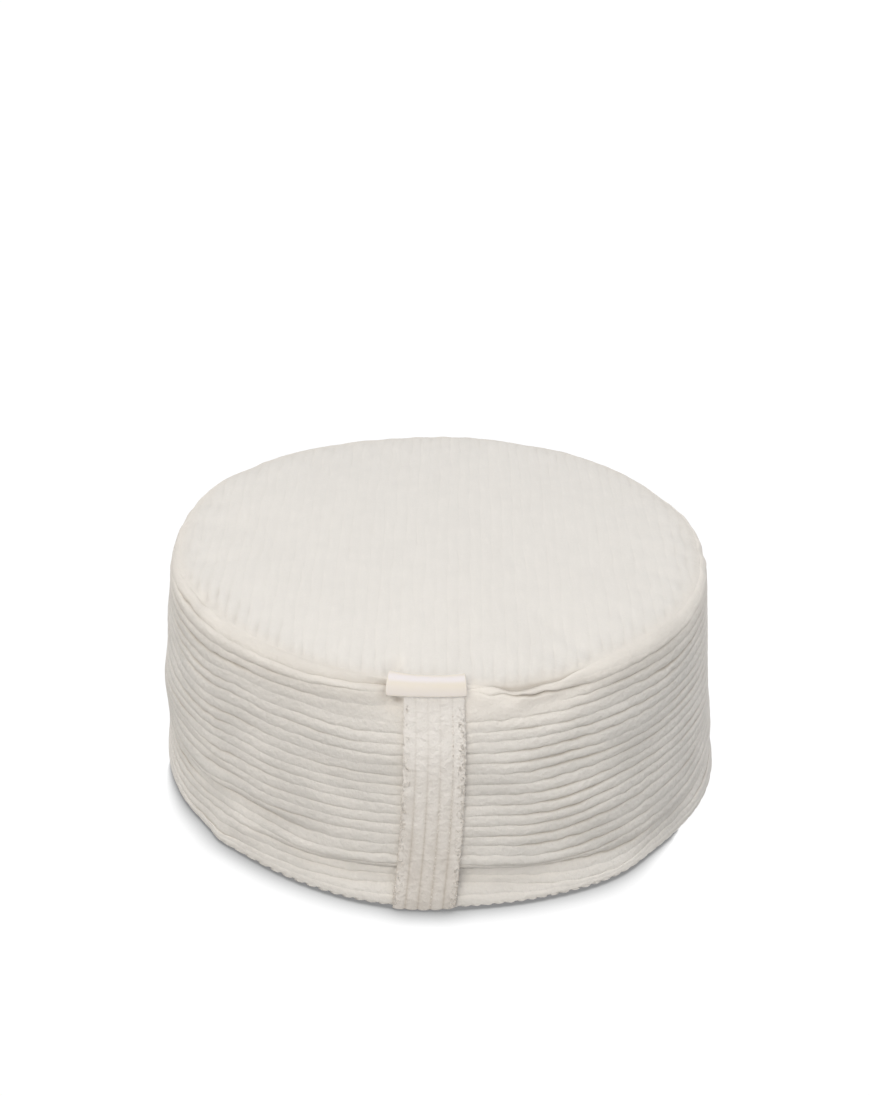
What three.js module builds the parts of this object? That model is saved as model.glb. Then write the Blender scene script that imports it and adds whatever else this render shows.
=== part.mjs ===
// Meditation cushion in wide-wale corduroy: a round filled body with a flat base, a carry strap
// down its front wall and a folded tab set in the top seam above the strap.
// Millimetres, +Z up. The front, with the strap, faces -Y. The origin is the middle of the base.
// Angles go round the cushion in degrees from the front, positive towards +X.

import * as THREE from 'three';

// Body of the cushion
const WALL_RADIUS = 167.3;
const WALL_TAPER = 10.4;
const SHOULDER_HEIGHT = 135;
const SHOULDER_ROLL = 10;
const CROWN_RISE = 4.5;
const FOOT_FLARE = 0.5;
const FOOT_HEIGHT = 4;
const FOOT_SOFTNESS = 13;
const BASE_ROLL = 2.5;
const LEAN = -6.1;
const TOP_HEIGHT = SHOULDER_HEIGHT + SHOULDER_ROLL;
const TOP_RADIUS = WALL_RADIUS - SHOULDER_ROLL;

// Corduroy
const SIDE_WALES = 21;
const TOP_WALE_PITCH = 6.7;
const SIDE_WALE_DEPTH = 1.3;
const TOP_WALE_DEPTH = 0.7;
const POINTS_PER_SIDE_WALE = 3;
const COLUMNS = 60;
const WALL_STEPS = 60;
const ROLL_STEPS = 8;
const TOP_ROWS = 10;
const TOP_EDGE = 3;
const TOP_REACH = 0.985;

// The top seam lies on the shoulder's roll: 0 is level with the wall, 90 is flat on the top.
const SEAM_LINE = [
  { angle: -180, roll: 55 },
  { angle: -110, roll: 58 },
  { angle: -74, roll: 64 },
  { angle: -45, roll: 86 },
  { angle: -20, roll: 69 },
  { angle: 5, roll: 56 },
  { angle: 15, roll: 32 },
  { angle: 45, roll: 28 },
  { angle: 75, roll: 12 },
  { angle: 125, roll: 42 },
  { angle: 180, roll: 55 },
];

// How far the foot stands out of an even circle.
const FOOT_LINE = [
  { angle: -180, out: 0 },
  { angle: -105, out: -1 },
  { angle: -62, out: 1.3 },
  { angle: -25, out: -0.6 },
  { angle: 12, out: -1.8 },
  { angle: 38, out: 1.6 },
  { angle: 62, out: -1 },
  { angle: 90, out: 1.2 },
  { angle: 135, out: -0.8 },
  { angle: 180, out: 0 },
];

// Folds where the slack wall has sunk in above the foot, deepest over the inner share of their stretch.
const FOLDS = [
  { height: 26, depth: 3.4, soft: 4.5, middle: -6, half: 46 },
  { height: 44, depth: 2.4, soft: 5, middle: -54, half: 30 },
  { height: 29, depth: 2.6, soft: 5, middle: 132, half: 44 },
  { height: 36, depth: 2.4, soft: 5, middle: -138, half: 40 },
];

// Puckers where the top is drawn into its seam.
const PUCKERS = [
  { angle: -58, depth: 2.4, width: 7 },
  { angle: 14, depth: 2.6, width: 5 },
  { angle: 66, depth: 1.8, width: 7 },
  { angle: 118, depth: 1.6, width: 6 },
  { angle: -128, depth: 1.8, width: 7 },
];
const PUCKER_REACH = 9;
const FOLD_CORE = 0.5;

// Carry strap
const STRAP_WIDTH = 33.4;
const STRAP_THICKNESS = 2.6;
const STRAP_GROOVE = 0.8;
const STRAP_WALES = 5;
const STRAP_ROWS = 22;
const STRAP_ROW_EASE = 1.7;
const STRAP_END_ROWS = 4;
const STRAP_FOOT = 1.2;
const STRAP_TOP_ROLL = 52;
const STRAP_LINE = [
  { height: 0, x: -7.1 },
  { height: 50, x: -4.8 },
  { height: 95, x: -4.3 },
  { height: 145, x: -5.9 },
];

// Folded tab
const TAB_WIDTH = 43;
const TAB_X = -10;
const TAB_STEPS = 12;

// The tab's section, round from its inner face: places on the shoulder's roll, and how far off it.
// Its upper half lies on the cushion and its lower half over the end of the strap.
const TAB_SECTION = [
  { roll: 88, off: 0.4 },
  { roll: 76, off: 0.4 },
  { roll: 64, off: 0.4 },
  { roll: 57, off: 3.4 },
  { roll: 43, off: 3.4 },
  { roll: 29, off: 3.4 },
  { roll: 27, off: 4 },
  { roll: 28, off: 5.6 },
  { roll: 31, off: 6.2 },
  { roll: 46, off: 6.4 },
  { roll: 60, off: 6.1 },
  { roll: 70, off: 5.2 },
  { roll: 80, off: 4 },
  { roll: 87, off: 3 },
  { roll: 92, off: 1.8 },
  { roll: 92, off: 0.9 },
];

const SEWN_GAP = 0.35;

const { clamp, degToRad, euclideanModulo, lerp, radToDeg, smoothstep } = THREE.MathUtils;

const turn = (angle) => euclideanModulo(angle + 180, 360) - 180;

/** Value of one column of a table at a place, eased from row to row. */
function along(table, column, at, value) {
  const next = Math.max(1, table.findIndex((row) => row[column] >= at));
  const low = table[next - 1];
  const high = table[next];
  return lerp(low[value], high[value], smoothstep(at, low[column], high[column]));
}

/** Depth of the sunk folds at a place on the wall. */
function foldDepth(angle, height) {
  let depth = 0;
  for (const fold of FOLDS) {
    const away = Math.abs(turn(angle - fold.middle)) / fold.half;
    const across = ((height - fold.height) / fold.soft) ** 2;
    depth += fold.depth * (1 - smoothstep(away, FOLD_CORE, 1)) * Math.exp(-across);
  }
  return depth;
}

/** Depth of the puckers at a distance from the top seam. */
function puckerDepth(angle, fromSeam) {
  let depth = 0;
  for (const pucker of PUCKERS) {
    const across = (turn(angle - pucker.angle) / pucker.width) ** 2;
    depth += pucker.depth * Math.exp(-across - (fromSeam / PUCKER_REACH) ** 2);
  }
  return depth;
}

/** Radius of the wall, its folds left out: tapered, flared at the foot and rolled in at the base. */
function wallRadius(angle, height) {
  const taper = WALL_TAPER * Math.max(0, 1 - height / SHOULDER_HEIGHT);
  const nearFoot = Math.exp(-(((height - FOOT_HEIGHT) / FOOT_SOFTNESS) ** 2));
  const flare = (FOOT_FLARE + along(FOOT_LINE, 'angle', turn(angle), 'out')) * nearFoot;
  const rolledIn = BASE_ROLL * Math.max(0, 1 - height / BASE_ROLL) ** 2;
  return WALL_RADIUS + taper + flare - rolledIn;
}

/** Radius and height of a place on the shoulder's roll, set off from it by a gap. */
function shoulderPoint(roll, gap = 0) {
  const q = degToRad(roll);
  const reach = SHOULDER_ROLL + gap;
  return new THREE.Vector2(TOP_RADIUS + reach * Math.cos(q), SHOULDER_HEIGHT + reach * Math.sin(q));
}

/** A radius and height at an angle, as a point of the leaning cushion. */
function place(angle, radius, height) {
  const a = degToRad(angle);
  const lean = (LEAN * height) / TOP_HEIGHT;
  return new THREE.Vector3(radius * Math.sin(a) + lean, -radius * Math.cos(a), height);
}

/** The wall's section at an angle, from the edge of the base up to the top seam. */
function wallSection(angle) {
  const points = [];
  for (let i = 0; i <= WALL_STEPS; i += 1) {
    const height = (SHOULDER_HEIGHT * i) / WALL_STEPS;
    points.push(new THREE.Vector2(wallRadius(angle, height) - foldDepth(angle, height), height));
  }
  const roll = along(SEAM_LINE, 'angle', turn(angle), 'roll');
  for (let i = 1; i <= ROLL_STEPS; i += 1) {
    points.push(shoulderPoint((roll * i) / ROLL_STEPS));
  }
  const section = new THREE.SplineCurve(points);
  section.arcLengthDivisions = 6 * WALL_STEPS;
  return section;
}

/** One column of the side band: even steps up the section, with a groove between each two wales. */
function bandColumn(angle) {
  const section = wallSection(angle);
  const steps = SIDE_WALES * POINTS_PER_SIDE_WALE;
  const length = section.getLength();
  const column = [];
  for (let i = 0; i <= steps; i += 1) {
    const point = section.getPointAt(i / steps);
    const tangent = section.getTangentAt(i / steps);
    const groove = i > 0 && i % POINTS_PER_SIDE_WALE === 0 ? SIDE_WALE_DEPTH : 0;
    const sunk = groove + puckerDepth(angle, length * (1 - i / steps));
    const height = i === 0 ? 0 : point.y + tangent.x * sunk;
    column.push(place(angle, point.x - tangent.y * sunk, height));
  }
  return column;
}

/** Height of the top panel at a radius: the shoulder's roll, then the crown. */
function topHeight(radius) {
  if (radius > TOP_RADIUS) {
    return SHOULDER_HEIGHT + Math.sqrt(SHOULDER_ROLL ** 2 - (radius - TOP_RADIUS) ** 2);
  }
  return TOP_HEIGHT + CROWN_RISE * (1 - (radius / TOP_RADIUS) ** 2);
}

/** Radius at which the wales of the top panel end, just inside the seam. */
function topEdge(angle) {
  return shoulderPoint(along(SEAM_LINE, 'angle', turn(angle), 'roll')).x - TOP_EDGE;
}

/** Angle at which the line of one top wale meets the panel's edge, in front or at the back. */
function waleEndAngle(across, atBack) {
  const rounds = 20;
  let angle = 0;
  for (let i = 0; i < rounds; i += 1) {
    const front = radToDeg(Math.asin(clamp(across / topEdge(angle), -1, 1)));
    angle = atBack ? 180 - front : front;
  }
  return angle;
}

/** The top panel's grid: a station at each crest and groove, and rows from the front to the back. */
function topGrid() {
  const spacing = TOP_WALE_PITCH / 2;
  const leftmost = -Math.floor((TOP_REACH * topEdge(-90)) / spacing);
  const rightmost = Math.floor((TOP_REACH * topEdge(90)) / spacing);
  const grid = [];
  for (let i = leftmost; i <= rightmost; i += 1) {
    const across = i * spacing;
    const ends = [false, true].map((atBack) => {
      const angle = waleEndAngle(across, atBack);
      return -topEdge(angle) * Math.cos(degToRad(angle));
    });
    const groove = i % 2 === 0 ? 0 : TOP_WALE_DEPTH;
    const station = [];
    for (let j = 0; j <= TOP_ROWS; j += 1) {
      const share = (1 - Math.cos((Math.PI * j) / TOP_ROWS)) / 2;
      const deep = lerp(ends[0], ends[1], share);
      const radius = Math.hypot(across, deep);
      const angle = radToDeg(Math.atan2(across, -deep));
      const sunk = groove + puckerDepth(angle, topEdge(angle) + TOP_EDGE - radius);
      station.push(place(angle, radius, topHeight(radius) - sunk));
    }
    grid.push(station);
  }
  return grid;
}

/** A closed surface that is put together vertex by vertex. */
class Surface {
  constructor() {
    this.positions = [];
    this.indices = [];
  }

  add(point) {
    this.positions.push(point.x, point.y, point.z);
    return this.positions.length / 3 - 1;
  }

  quad(a, b, c, d) {
    this.indices.push(a, b, c, a, c, d);
  }

  /** Quads between rows of vertices; a wrapped row closes on its own start. */
  patch(rows, wrapped) {
    for (let i = 0; i + 1 < rows.length; i += 1) {
      const count = rows[i].length;
      for (let j = 0; j < (wrapped ? count : count - 1); j += 1) {
        const k = (j + 1) % count;
        this.quad(rows[i][j], rows[i][k], rows[i + 1][k], rows[i + 1][j]);
      }
    }
  }

  /** Triangles between two closed loops of unlike counts, both in order of angle about a middle. */
  zip(outer, inner, middle) {
    const angleOf = (v) => {
      const [x, y] = this.positions.slice(3 * v, 3 * v + 2);
      return euclideanModulo(Math.atan2(y - middle.y, x - middle.x), 2 * Math.PI);
    };
    const inOrder = (loop) => [...loop].sort((a, b) => angleOf(a) - angleOf(b));
    const [out, within] = [inOrder(outer), inOrder(inner)];
    const at = (loop, i) => loop[i % loop.length];
    const reach = (loop, i) => angleOf(at(loop, i)) + 2 * Math.PI * Math.floor(i / loop.length);
    let o = 0;
    let n = 0;
    while (o < out.length || n < within.length) {
      const stepOut = n === within.length
        || (o < out.length && reach(out, o + 1) <= reach(within, n + 1));
      if (stepOut) {
        this.indices.push(at(out, o), at(out, o + 1), at(within, n));
        o += 1;
      } else {
        this.indices.push(at(out, o), at(within, n + 1), at(within, n));
        n += 1;
      }
    }
  }

  /** A flat lid over a convex loop, in strips across it. */
  lid(loop) {
    for (let low = 0, high = loop.length - 1; high - low > 1; low += 1, high -= 1) {
      this.indices.push(loop[low], loop[high], loop[low + 1]);
      if (high - low > 2) {
        this.indices.push(loop[low + 1], loop[high], loop[high - 1]);
      }
    }
  }

  geometry() {
    const geometry = new THREE.BufferGeometry();
    geometry.setAttribute('position', new THREE.Float32BufferAttribute(this.positions, 3));
    geometry.setIndex(this.indices);
    geometry.computeVertexNormals();
    return geometry;
  }
}

/** The filled cushion: side band, crowned top panel and flat base in one closed surface. */
function cushionGeometry() {
  const surface = new Surface();
  const columns = [];
  for (let j = 0; j < COLUMNS; j += 1) {
    columns.push(bandColumn((360 * j) / COLUMNS).map((point) => surface.add(point)));
  }
  const rings = columns[0].map((_, i) => columns.map((column) => column[i]));
  surface.patch(rings, true);
  surface.lid(rings[0]);

  const grid = topGrid().map((station) => station.map((point) => surface.add(point)));
  surface.patch(grid.map((station) => [...station].reverse()), false);
  const first = grid[0];
  const last = grid[grid.length - 1];
  const frontEnds = grid.map((station) => station[0]);
  const backEnds = grid.map((station) => station[station.length - 1]);
  const edge = new Set([...frontEnds, ...last, ...backEnds, ...first]);
  surface.zip(rings[rings.length - 1], [...edge], new THREE.Vector2(LEAN, 0));
  return surface.geometry();
}

/** A solid swept through sections of one count, closed by a lid at each end. */
function sweptGeometry(sections) {
  const surface = new Surface();
  const rows = sections.map((section) => section.map((point) => surface.add(point)));
  surface.patch(rows, true);
  const ends = [rows[0], [...rows[rows.length - 1]].reverse()];
  for (const end of ends) {
    const outline = end.map((v) => surface.positions.slice(3 * v, 3 * v + 3));
    const middle = new THREE.Vector3();
    outline.forEach((p) => middle.add(new THREE.Vector3(...p)));
    const hub = surface.add(middle.divideScalar(outline.length));
    end.forEach((v, i) => surface.indices.push(hub, end[(i + 1) % end.length], v));
  }
  return surface.geometry();
}

/** Inner line of the strap: up the wall, across its folds, and a little way over the shoulder. */
function strapPath(angle) {
  const points = [];
  for (let i = 0; i <= STRAP_ROWS; i += 1) {
    const height = lerp(STRAP_FOOT, SHOULDER_HEIGHT, (i / STRAP_ROWS) ** STRAP_ROW_EASE);
    points.push(new THREE.Vector2(wallRadius(angle, height) + SEWN_GAP, height));
  }
  for (let i = 1; i <= STRAP_END_ROWS; i += 1) {
    points.push(shoulderPoint((STRAP_TOP_ROLL * i) / STRAP_END_ROWS, SEWN_GAP));
  }
  return points;
}

/** Height of the strap's outer face above its inner face, across its width from 0 to 1. */
function strapRelief(share) {
  const wave = Math.abs(Math.sin(Math.PI * STRAP_WALES * share));
  return STRAP_THICKNESS - STRAP_GROOVE * (1 - wave);
}

/** The carry strap: a corduroy strip that follows the wall, with its wales along it. */
function strapGeometry() {
  const across = STRAP_WALES * 2;
  const path = strapPath(0);
  const sections = path.map((_, i) => {
    const inner = [];
    const outer = [];
    for (let j = 0; j <= across; j += 1) {
      const share = j / across;
      const height = path[i].y;
      const centre = along(STRAP_LINE, 'height', height, 'x') - (LEAN * height) / TOP_HEIGHT;
      const angle = radToDeg((centre + STRAP_WIDTH * (share - 0.5)) / WALL_RADIUS);
      const point = strapPath(angle)[i];
      const beyond = Math.max(0, point.y - SHOULDER_HEIGHT) / (SHOULDER_ROLL + SEWN_GAP);
      const lift = new THREE.Vector2(Math.sqrt(1 - beyond ** 2), beyond);
      inner.push(place(angle, point.x, point.y));
      const out = point.clone().addScaledVector(lift, strapRelief(share));
      outer.push(place(angle, out.x, out.y));
    }
    return [...inner.reverse(), ...outer];
  });
  return sweptGeometry(sections);
}

/** The folded tab, carried along the seam from its right end to its left. */
function tabGeometry() {
  const section = TAB_SECTION.map((row) => shoulderPoint(row.roll, row.off));
  const sections = [];
  for (let i = 0; i <= TAB_STEPS; i += 1) {
    const x = TAB_X - LEAN + TAB_WIDTH * (0.5 - i / TAB_STEPS);
    const angle = radToDeg(x / WALL_RADIUS);
    sections.push(section.map((point) => place(angle, point.x, point.y)));
  }
  return sweptGeometry(sections);
}

function piece(name, geometry, finish) {
  const mesh = new THREE.Mesh(geometry, new THREE.MeshStandardMaterial({ metalness: 0, ...finish }));
  mesh.name = name;
  return mesh;
}

const meditationCushion = new THREE.Group();
meditationCushion.add(
  piece('cushion', cushionGeometry(), { color: '#ddd9d2', roughness: 0.95 }),
  piece('carry_strap', strapGeometry(), { color: '#d9d1cb', roughness: 0.95 }),
  piece('seam_tab', tabGeometry(), { color: '#ebe1d5', roughness: 0.55 }),
);

export default meditationCushion;
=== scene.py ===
# %% [markdown]
# # A round meditation cushion in wide-wale corduroy
#
# The real cushion is a round cover of cream corduroy, sewn from a top panel, a side band and a base panel,
# and filled until it stands by itself. A corduroy carry strap runs down its front, and a folded leather tab
# sits in the top seam over the strap's end. The CAD frame holds the sizes; this lesson adds the looks.

import bpy
import numpy as np
from mathutils import Matrix


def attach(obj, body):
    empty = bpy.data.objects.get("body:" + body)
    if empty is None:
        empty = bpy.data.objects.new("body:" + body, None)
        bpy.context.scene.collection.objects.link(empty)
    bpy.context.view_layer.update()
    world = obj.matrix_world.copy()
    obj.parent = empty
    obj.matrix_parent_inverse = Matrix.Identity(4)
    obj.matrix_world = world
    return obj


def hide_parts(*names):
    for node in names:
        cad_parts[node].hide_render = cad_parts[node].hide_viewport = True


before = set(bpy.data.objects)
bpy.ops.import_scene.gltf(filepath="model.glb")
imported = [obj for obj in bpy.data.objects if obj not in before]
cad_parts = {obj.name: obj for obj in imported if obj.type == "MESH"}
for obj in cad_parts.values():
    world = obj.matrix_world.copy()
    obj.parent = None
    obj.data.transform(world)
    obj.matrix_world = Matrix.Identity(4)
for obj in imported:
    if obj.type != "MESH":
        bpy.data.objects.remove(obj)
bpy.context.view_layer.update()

MM = 0.001

# %% [markdown]
# ## The camera
#
# A packshot like this is taken from a little above, with a long lens. The place, the tilt and the small
# roll of the camera were worked out from the outline of the cushion in the picture, so the same view can be
# set by three plain directions: right, up and back.

# %% Place the camera
PICTURE = (870, 1096)
LENS_IN_PIXELS = 1700
SENSOR = 36
CAMERA_AT = np.array([-7.6, -936.0, 645.9])
LOOKS_DOWN = np.radians(28.41)
CAMERA_ROLL = np.radians(1.76)

level = np.array([1, 0, 0])
over = np.array([0, np.sin(LOOKS_DOWN), np.cos(LOOKS_DOWN)])
ahead = np.array([0, np.cos(LOOKS_DOWN), -np.sin(LOOKS_DOWN)])
right = np.cos(CAMERA_ROLL) * level + np.sin(CAMERA_ROLL) * over
up = np.cos(CAMERA_ROLL) * over - np.sin(CAMERA_ROLL) * level

camera = bpy.data.objects.new("camera", bpy.data.cameras.new("camera"))
camera.data.sensor_width = SENSOR
camera.data.lens = SENSOR * LENS_IN_PIXELS / max(PICTURE)
camera.matrix_world = Matrix([[*row] for row in np.vstack([
    np.column_stack([right, up, -ahead, CAMERA_AT * MM]), [0, 0, 0, 1]])])
bpy.context.scene.collection.objects.link(camera)
bpy.context.scene.camera = camera
print("lens", round(camera.data.lens, 2), "mm")

# %% [markdown]
# ## The filled body
#
# A filled cover is round but never even. Its wall leans and tapers, the top seam wanders over the soft
# shoulder, and the foot swells in places. A few short tables hold those places, by the angle round the
# cushion: 0 is the front, where the strap is, and positive angles go towards +X. Between the rows of a table
# a smooth cubic takes over, so that nothing has a kink. The body could be sculpted by hand as well, but
# tables can be read, and each place can be changed by itself.

# %% Sizes of the body, in millimetres
WALL_RADIUS = 167.3
WALL_TAPER = 10.4
SHOULDER_HEIGHT = 135
SHOULDER_ROLL = 10
CROWN_RISE = 4.5
FOOT_FLARE = 0.5
FOOT_HEIGHT = 4
FOOT_SOFTNESS = 13
LEAN = -6.1
BASE_SEAM = 3.2
TOP_HEIGHT = SHOULDER_HEIGHT + SHOULDER_ROLL
TOP_RADIUS = WALL_RADIUS - SHOULDER_ROLL

# Where the top seam lies on the shoulder's roll: 0 is level with the wall, 90 is flat on the top.
SEAM_LINE = {
    "angle": [-180, -110, -74, -60, -42, -20, 5, 9, 12, 14.5, 17, 19.5, 22, 25, 28, 33, 41, 50, 64, 78, 100,
              135, 180],
    "roll": [55, 58, 62, 80, 80, 72, 60, 51, 44, 27, 24, 28, 33, 34, 48, 58, 64, 66, 60, 52, 48, 50, 55],
}
# How far the foot and the middle of the wall stand out of an even cone.
WALL_LINE = {
    "angle": [-180, -105, -84, -62, -51, -47.5, -43, -25, -12, 0, 12, 22, 38, 47, 56, 66, 90, 135, 180],
    "foot": [0, -1, 0.5, 1.3, 0.7, 2.1, 0.8, 1, 2, 0.6, -0.3, 0.3, 1.6, -1, -0.8, 0.6, 0.8, -0.8, 0],
    "belly": [0, 1, 2.6, 1.2, 0.5, 0.4, 0.2, 0, 0, 0, 0, 0, 0, 0, 0, 0, 0, 0, 0],
}
BELLY_HEIGHT = 60
BELLY_SOFTNESS = 26
# How far the soft shoulder has sunk in and down: beside the strap, at the far left and along the back.
SLOUCH = {
    "angle": [-180, -163, -140, -118, -92, -65, -30, -12, 4, 18, 32, 50, 80, 108, 135, 165, 180],
    "in": [0, 0, 0, 0, 2.4, 0, 0.5, 2.5, 3.5, 3.5, 1.5, 0, 0, -2.2, -0.8, 0, 0],
    "down": [2.6, 3.8, 1.6, -0.8, 0, 0, 0.2, 1.3, 1.8, 1.8, 0.8, 0, 0, 0, -0.8, 0.6, 2.6],
}
SLOUCH_FROM = 95
SLOUCH_FADE = 8
print("top seam between", min(SEAM_LINE["roll"]), "and", max(SEAM_LINE["roll"]), "degrees up the shoulder")

# %% Points on the body


def along(table, column, at, closed=False):
    """A column of a table at the places `at`: cubic Hermite pieces, whose slope at each row is the mean of
    the slopes beside it. A closed table goes on past its ends as the angle does, by whole turns."""
    places = np.array(next(iter(table.values())), float)
    values = np.array(table[column], float)
    if closed:
        places = np.concatenate([places[-3:-1] - 360, places, places[1:3] + 360])
        values = np.concatenate([values[-3:-1], values, values[1:3]])
    slopes = np.gradient(values, places)
    high = np.clip(np.searchsorted(places, at), 1, len(places) - 1)
    low = high - 1
    step = places[high] - places[low]
    t = np.clip((at - places[low]) / step, 0, 1)
    rest = 1 - t
    from_low = (1 + 2 * t) * rest**2 * values[low] + t * rest**2 * step * slopes[low]
    from_high = t**2 * (3 - 2 * t) * values[high] - t**2 * rest * step * slopes[high]
    return from_low + from_high


def seam_roll(angle):
    """Place of the top seam on the shoulder's roll, in degrees."""
    return along(SEAM_LINE, "roll", angle, closed=True)


def wall_radius(angle, height):
    """The wall without folds: a cone, plus bell-shaped swellings at the foot and the belly, which differ
    round the cushion."""
    taper = WALL_TAPER * np.maximum(0, 1 - height / SHOULDER_HEIGHT)
    foot = FOOT_FLARE + along(WALL_LINE, "foot", angle, closed=True)
    belly = along(WALL_LINE, "belly", angle, closed=True)
    swelling = foot * np.exp(-((height - FOOT_HEIGHT) / FOOT_SOFTNESS) ** 2)
    return WALL_RADIUS + taper + swelling + belly * np.exp(-((height - BELLY_HEIGHT) / BELLY_SOFTNESS) ** 2)


def shoulder_point(roll, gap=0):
    """Radius and height on the quarter circle of the shoulder, set off from it by a gap."""
    q = np.radians(roll)
    reach = SHOULDER_ROLL + gap
    return TOP_RADIUS + reach * np.cos(q), SHOULDER_HEIGHT + reach * np.sin(q)


def place(angle, radius, height):
    """A radius and a height at an angle as a point. The shoulder sinks by its table, less and less down the
    wall and towards the middle of the top, and the lean pushes sideways in step with the height."""
    a = np.radians(angle)
    share = np.clip((height - SLOUCH_FROM) / (TOP_HEIGHT - SLOUCH_FROM), 0, 1)
    sunk = share**2 * (3 - 2 * share) * (radius / WALL_RADIUS) ** SLOUCH_FADE
    radius = radius - sunk * along(SLOUCH, "in", angle, closed=True)
    height = height - sunk * along(SLOUCH, "down", angle, closed=True)
    return np.stack(np.broadcast_arrays(
        radius * np.sin(a) + LEAN * height / TOP_HEIGHT, -radius * np.cos(a), height), axis=-1)


across_foot = round(2 * (WALL_RADIUS + WALL_TAPER), 1)
print("body", across_foot, "mm across the foot and", TOP_HEIGHT + CROWN_RISE, "mm high")

# %% [markdown]
# ## Creases and puckers
#
# The cover is a little long for its filling. The spare cloth has sunk into creases above the foot, where the
# wales over the crease hang forward like a lip: two long ones and a short one that the picture shows, and
# two at the back that are guessed. At the top seam, the thread draws the cloth into short puckers, and one
# deeper pocket lies under the tab. A cloth simulation would fold where it likes, so each is written down as
# it lies, with a soft bell shape across it.

# %% Tables of the creases and puckers
CREASES = [
    {"angle": [-80, -70, -62, -51, -42, -34, -27, -20], "height": [31, 32, 32, 33.5, 38, 38, 38.5, 39],
     "depth": [0, 1.6, 3.2, 4, 3.2, 3, 1.2, 0]},
    {"angle": [-40, -34, -27, -18, -9, 8, 20, 26, 36], "height": [21, 21, 20, 21.5, 23.2, 23.7, 21, 20, 18.5],
     "depth": [0, 1.6, 3.6, 4.4, 4.6, 5.9, 5.5, 3.8, 1.4]},
    {"angle": [-66, -56, -47, -38], "height": [57, 55, 52, 50], "depth": [0, 1.3, 1.1, 0]},
    {"angle": [88, 108, 130, 152, 176], "height": [27, 30, 29, 31, 28], "depth": [0, 2.4, 3.2, 2.4, 0]},
    {"angle": [-178, -158, -138, -118, -98], "height": [33, 37, 36, 38, 35], "depth": [0, 2.2, 3, 2, 0]},
]
# How far a crease reaches above and below its line, and the share, the height and the reach of its lip.
CREASE_ABOVE = 3.4
CREASE_BELOW = 12
LIP_SHARE = 0.22
LIP_RISE = 8
LIP_SOFTNESS = 5
# Puckers at the top seam. The fifth, which lies lower, is the pocket.
PUCKERS = {
    "angle": [-128, -86, -59.5, -50, -8.2, 15, 66, 84, 92, 118, 160],
    "depth": [1.2, 0.8, 1.8, 0.7, 5, 0.9, 0.9, 1, 1.2, 1, 1],
    "width": [7, 4, 2.4, 2, 1.8, 2, 6, 2.5, 3, 6, 7],
    "below": [0, 0, 0, 0, 12, 0, 0, 0, 0, 0, 0],
}
PUCKER_REACH = 9


def turn(angle):
    """The same angle between -180 and 180 degrees."""
    return (angle + 180) % 360 - 180


def crease_depth(angle, height):
    """How far the creases pull the wall in: a bell that is steep above and slack below, less a smaller bell
    for the lip that hangs out over it."""
    depth = 0
    for crease in CREASES:
        over_crease = height - along(crease, "height", angle)
        soft = np.where(over_crease > 0, CREASE_ABOVE, CREASE_BELOW)
        lip = LIP_SHARE * np.exp(-((over_crease - LIP_RISE) / LIP_SOFTNESS) ** 2)
        strength = np.maximum(0, along(crease, "depth", angle))
        depth = depth + strength * (np.exp(-(over_crease / soft) ** 2) - lip)
    return depth


def pucker_depth(angle, from_seam):
    """Depth of the puckers: a bell over the angle times a bell over the distance from the seam."""
    depth = 0
    for at, deep, width, below in zip(*PUCKERS.values()):
        out_of = (turn(angle - at) / width) ** 2 + ((from_seam - below) / PUCKER_REACH) ** 2
        depth = depth + deep * np.exp(-out_of)
    return depth


print(len(CREASES), "creases and", len(PUCKERS["angle"]), "puckers")

# %% [markdown]
# ## The plain surfaces under the wales
#
# The side band is a grid: columns go round the cushion, and rows go up the wall by even shares of its own
# length, so that rows crowd together where the cloth turns into a crease, as wales do. The top panel is a
# low crown that rolls over the shoulder down to the seam.

# %% Side band and top panel without wales
WALL_STEPS = 420
ROLL_STEPS = 60


def wall_section(angle, creased):
    """Radius, height and length up the wall at each angle: from the base seam to the shoulder, then round the
    roll to the top seam."""
    height = np.linspace(BASE_SEAM, SHOULDER_HEIGHT, WALL_STEPS)[:, None]
    radius = wall_radius(angle, height)
    if creased:
        radius = radius - crease_depth(angle, height)
    rolled = np.linspace(0, 1, ROLL_STEPS)[1:, None] * seam_roll(angle)
    roll_radius, roll_height = shoulder_point(rolled)
    radius = np.vstack([radius, roll_radius])
    height = np.vstack([height + 0 * radius[:WALL_STEPS], roll_height])
    steps = np.hypot(np.diff(radius, axis=0), np.diff(height, axis=0))
    return radius, height, np.vstack([np.zeros(len(angle)), np.cumsum(steps, axis=0)])


def look_up(wanted, known, values):
    """Values of each column at the wanted places among its known ones, for all columns at once: each column
    is moved on by twice the longest, so that they lie one after the other."""
    moved = 2 * known.max() * np.arange(known.shape[1])
    found = np.interp((wanted + moved).T.ravel(), (known + moved).T.ravel(), values.T.ravel())
    return found.reshape(wanted.T.shape).T


def side_base(angle, share, creased=True):
    """Points of the side band at shares of the way up from the base seam to the top seam, by length."""
    radius, height, length = wall_section(angle, creased)
    radius_there = look_up(share, length / length[-1], radius)
    height_there = look_up(share, length / length[-1], height)
    return place(angle, radius_there, height_there), length[-1]


def share_at(angle, height):
    """The share of the way up the creased side band, by length, at which it reaches a height."""
    _, known, length = wall_section(angle, True)
    return look_up(height, known, length / length[-1])


def seam_radius(angle):
    """Radius of the top seam at an angle."""
    return shoulder_point(seam_roll(angle))[0]


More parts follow.
